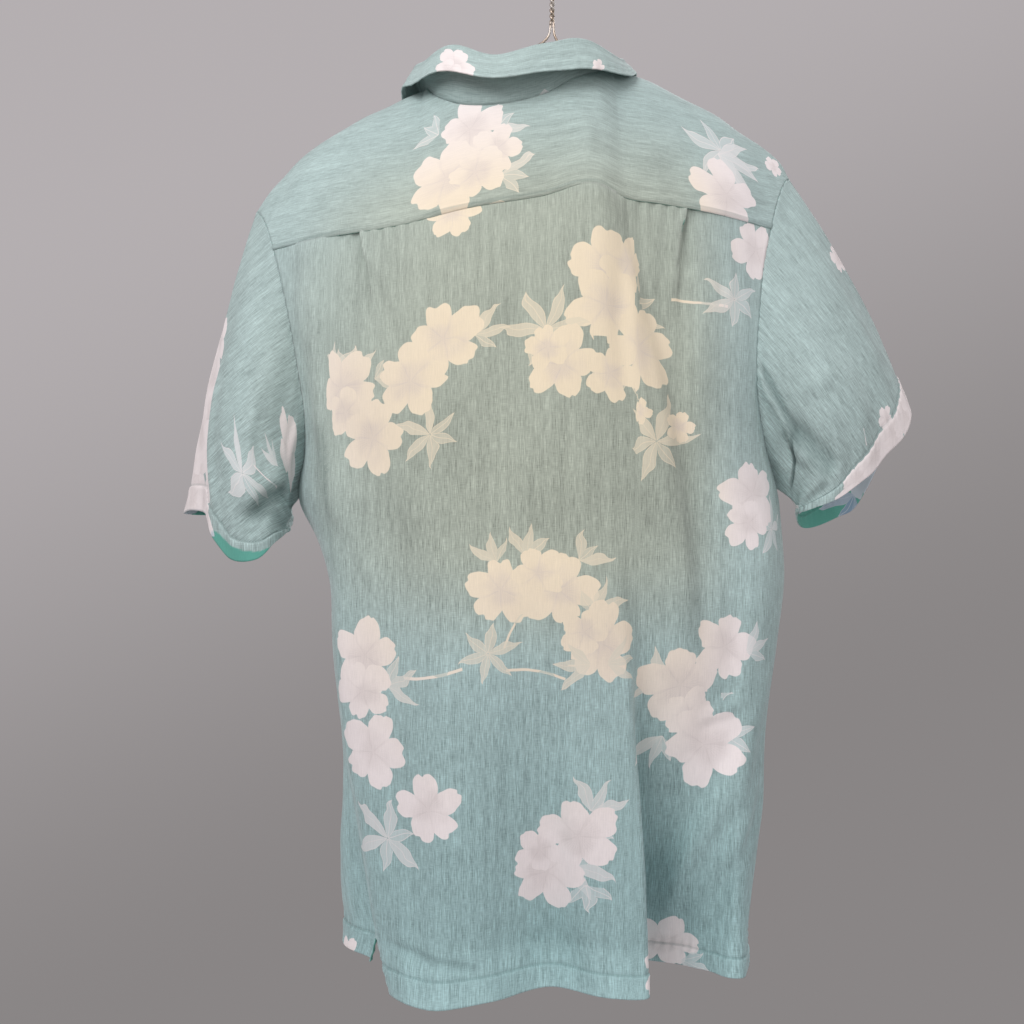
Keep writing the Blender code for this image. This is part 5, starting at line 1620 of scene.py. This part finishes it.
def arm_end(table, sign):
    """The bend at an arm's end, from the arm's slope round to the bar."""
    rows = pick(table, "x", "z")
    last, before = rows[-1], rows[-2]
    slope = math.atan2(before[1] - last[1], abs(last[0] - before[0]))
    straight = abs(BAR_Z - last[1])
    radius = straight / (1 + math.cos(slope))
    turn = np.linspace(math.pi / 2 - slope, -math.pi / 2, 9)[1:]
    x = last[0] + sign * radius * (np.cos(turn) - math.sin(slope))
    z = last[1] - radius * math.cos(slope) + radius * np.sin(turn)
    return np.stack([x, np.zeros(len(x)), z], -1)


def put_wire(node, path):
    """A piece of the hanger's wire, in place of its plainer solid."""
    points, faces = tube_grid(path, WIRE / 2, 16)
    made = put_mesh(node + "_wire", points, faces, wire_material())
    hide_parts(node)


def evened(*stretches):
    """Stretches of a path joined and read again at even steps along a smooth curve."""
    path = np.concatenate(stretches)
    length = run_along(path)
    return smooth(length, path, np.linspace(0, length[-1], int(length[-1] / 1.2)))


def under(point, *drops):
    """Points straight under one, by how far."""
    return point - np.array([[0, 0, drop] for drop in drops])


def dress_hanger():
    """The hanger: hook and twist, both arms and the bar between their ends."""
    radius = HOOK_RADIUS + WIRE / 2
    turn = np.linspace(math.radians(200), math.radians(-62), 90)
    bow = np.stack([radius * np.cos(turn), np.zeros(len(turn)),
                    radius * np.sin(turn) - HOOK_RADIUS], -1)
    throat = np.array([[4.6, 0, TWIST_TOP + 1.6]])
    lead = twist(math.pi)
    tail = under(lead[-1], 1.5, 2.7)
    put_wire("hanger_hook", evened(bow, throat, lead[6:], tail))

    left, right = arm_path(LEFT_ARM, 60), arm_path(RIGHT_ARM, 60)
    left_end, right_end = arm_end(LEFT_ARM, -1), arm_end(RIGHT_ARM, 1)
    other = twist(0.0)[9:]
    put_wire("hanger_left_arm", evened(under(tail[-1], -0.1, 1.5), left[3:], left_end))
    put_wire("hanger_right_arm", evened(other, under(other[-1], 1.5), right[3:], right_end))
    put_wire("hanger_bar", np.linspace(left_end[-1], right_end[-1], 60))


# ---- stage -----------------------------------------------------------------------------
FLOOR_RADIUS = 0.8          # metres, as is all of the stage
FLOOR_Z = -1.30
FLOOR_SIDES = 96
CAMERA_AT = (-0.0348, -1.15, -0.5124)       # it looks along +Y
CAMERA_LENS = 46.47         # mm
CAMERA_SENSOR = 36
SURROUND_LOW = (0.25, 0.235, 0.235, 1)
SURROUND_HIGH = (0.46, 0.43, 0.44, 1)
# lamp, where, aimed at, width, power (W)
LAMPS = (
    ("key", (-0.9, -1.5, 0.7), (0, 0, -0.45), 1.2, 26),
    ("fill", (1.3, -1.3, 0.0), (0, 0, -0.5), 1.4, 9),
    ("behind", (0.4, 1.6, 0.6), (0, 0, -0.4), 1.4, 24),
)


def put_on_stage(name, data):
    """An object of the stage, in the scene."""
    made = bpy.data.objects.new(name, data)
    bpy.context.collection.objects.link(made)
    return made


def dress_stage():
    """A pale floor disc below, three soft lamps, a plain grey surround and the camera."""
    turn = np.linspace(0, 2 * np.pi, FLOOR_SIDES, endpoint=False)
    points = np.stack([FLOOR_RADIUS * np.cos(turn), FLOOR_RADIUS * np.sin(turn),
                       np.full(FLOOR_SIDES, FLOOR_Z)], -1)
    mesh = bpy.data.meshes.new("floor")
    mesh.from_pydata(points, [], [tuple(range(FLOOR_SIDES))])
    paint, n, shader, _ = clouded("floor_paint", 3.0, 2.0, (0.52, 0.52, 0.53, 1),
                                  (0.57, 0.57, 0.58, 1))
    n.fill(shader, {"Roughness": 0.8})
    mesh.materials.append(paint)
    put_on_stage("floor", mesh)

    scene = bpy.context.scene
    world = bpy.data.worlds.new("surround")
    world.use_nodes = True
    n = Nodes(world.node_tree)
    side, _, height = n.parts(n.add("ShaderNodeTexCoord", give="Generated"))
    grey = n.mix(n.between(height - side * 0.38, -0.25, 0.35), SURROUND_LOW, SURROUND_HIGH)
    n.fill(world.node_tree.nodes["Background"], {"Color": grey})
    scene.world = world
    scene.view_settings.view_transform = "Standard"

    for name, spot, aim, size, power in LAMPS:
        lamp = bpy.data.lights.new(name, "AREA")
        lamp.shape = "DISK"
        lamp.size = size
        lamp.energy = power
        put = put_on_stage(name, lamp)
        put.location = spot
        put.rotation_euler = (Vector(aim) - Vector(spot)).to_track_quat("-Z", "Y").to_euler()

    camera = bpy.data.cameras.new("camera")
    camera.lens = CAMERA_LENS
    camera.sensor_width = CAMERA_SENSOR
    camera.clip_start = 0.05
    view = put_on_stage("camera", camera)
    view.location = CAMERA_AT
    view.rotation_euler = (math.pi / 2, 0, 0)
    scene.camera = view


def main():
    """Dress every piece and set it on its stage."""
    dress_back()
    for hand in ("left", "right"):
        dress_front(hand)
        dress_sleeve(hand)
    dress_yoke()
    dress_collar()
    dress_buttons()
    dress_hanger()
    dress_stage()


main()
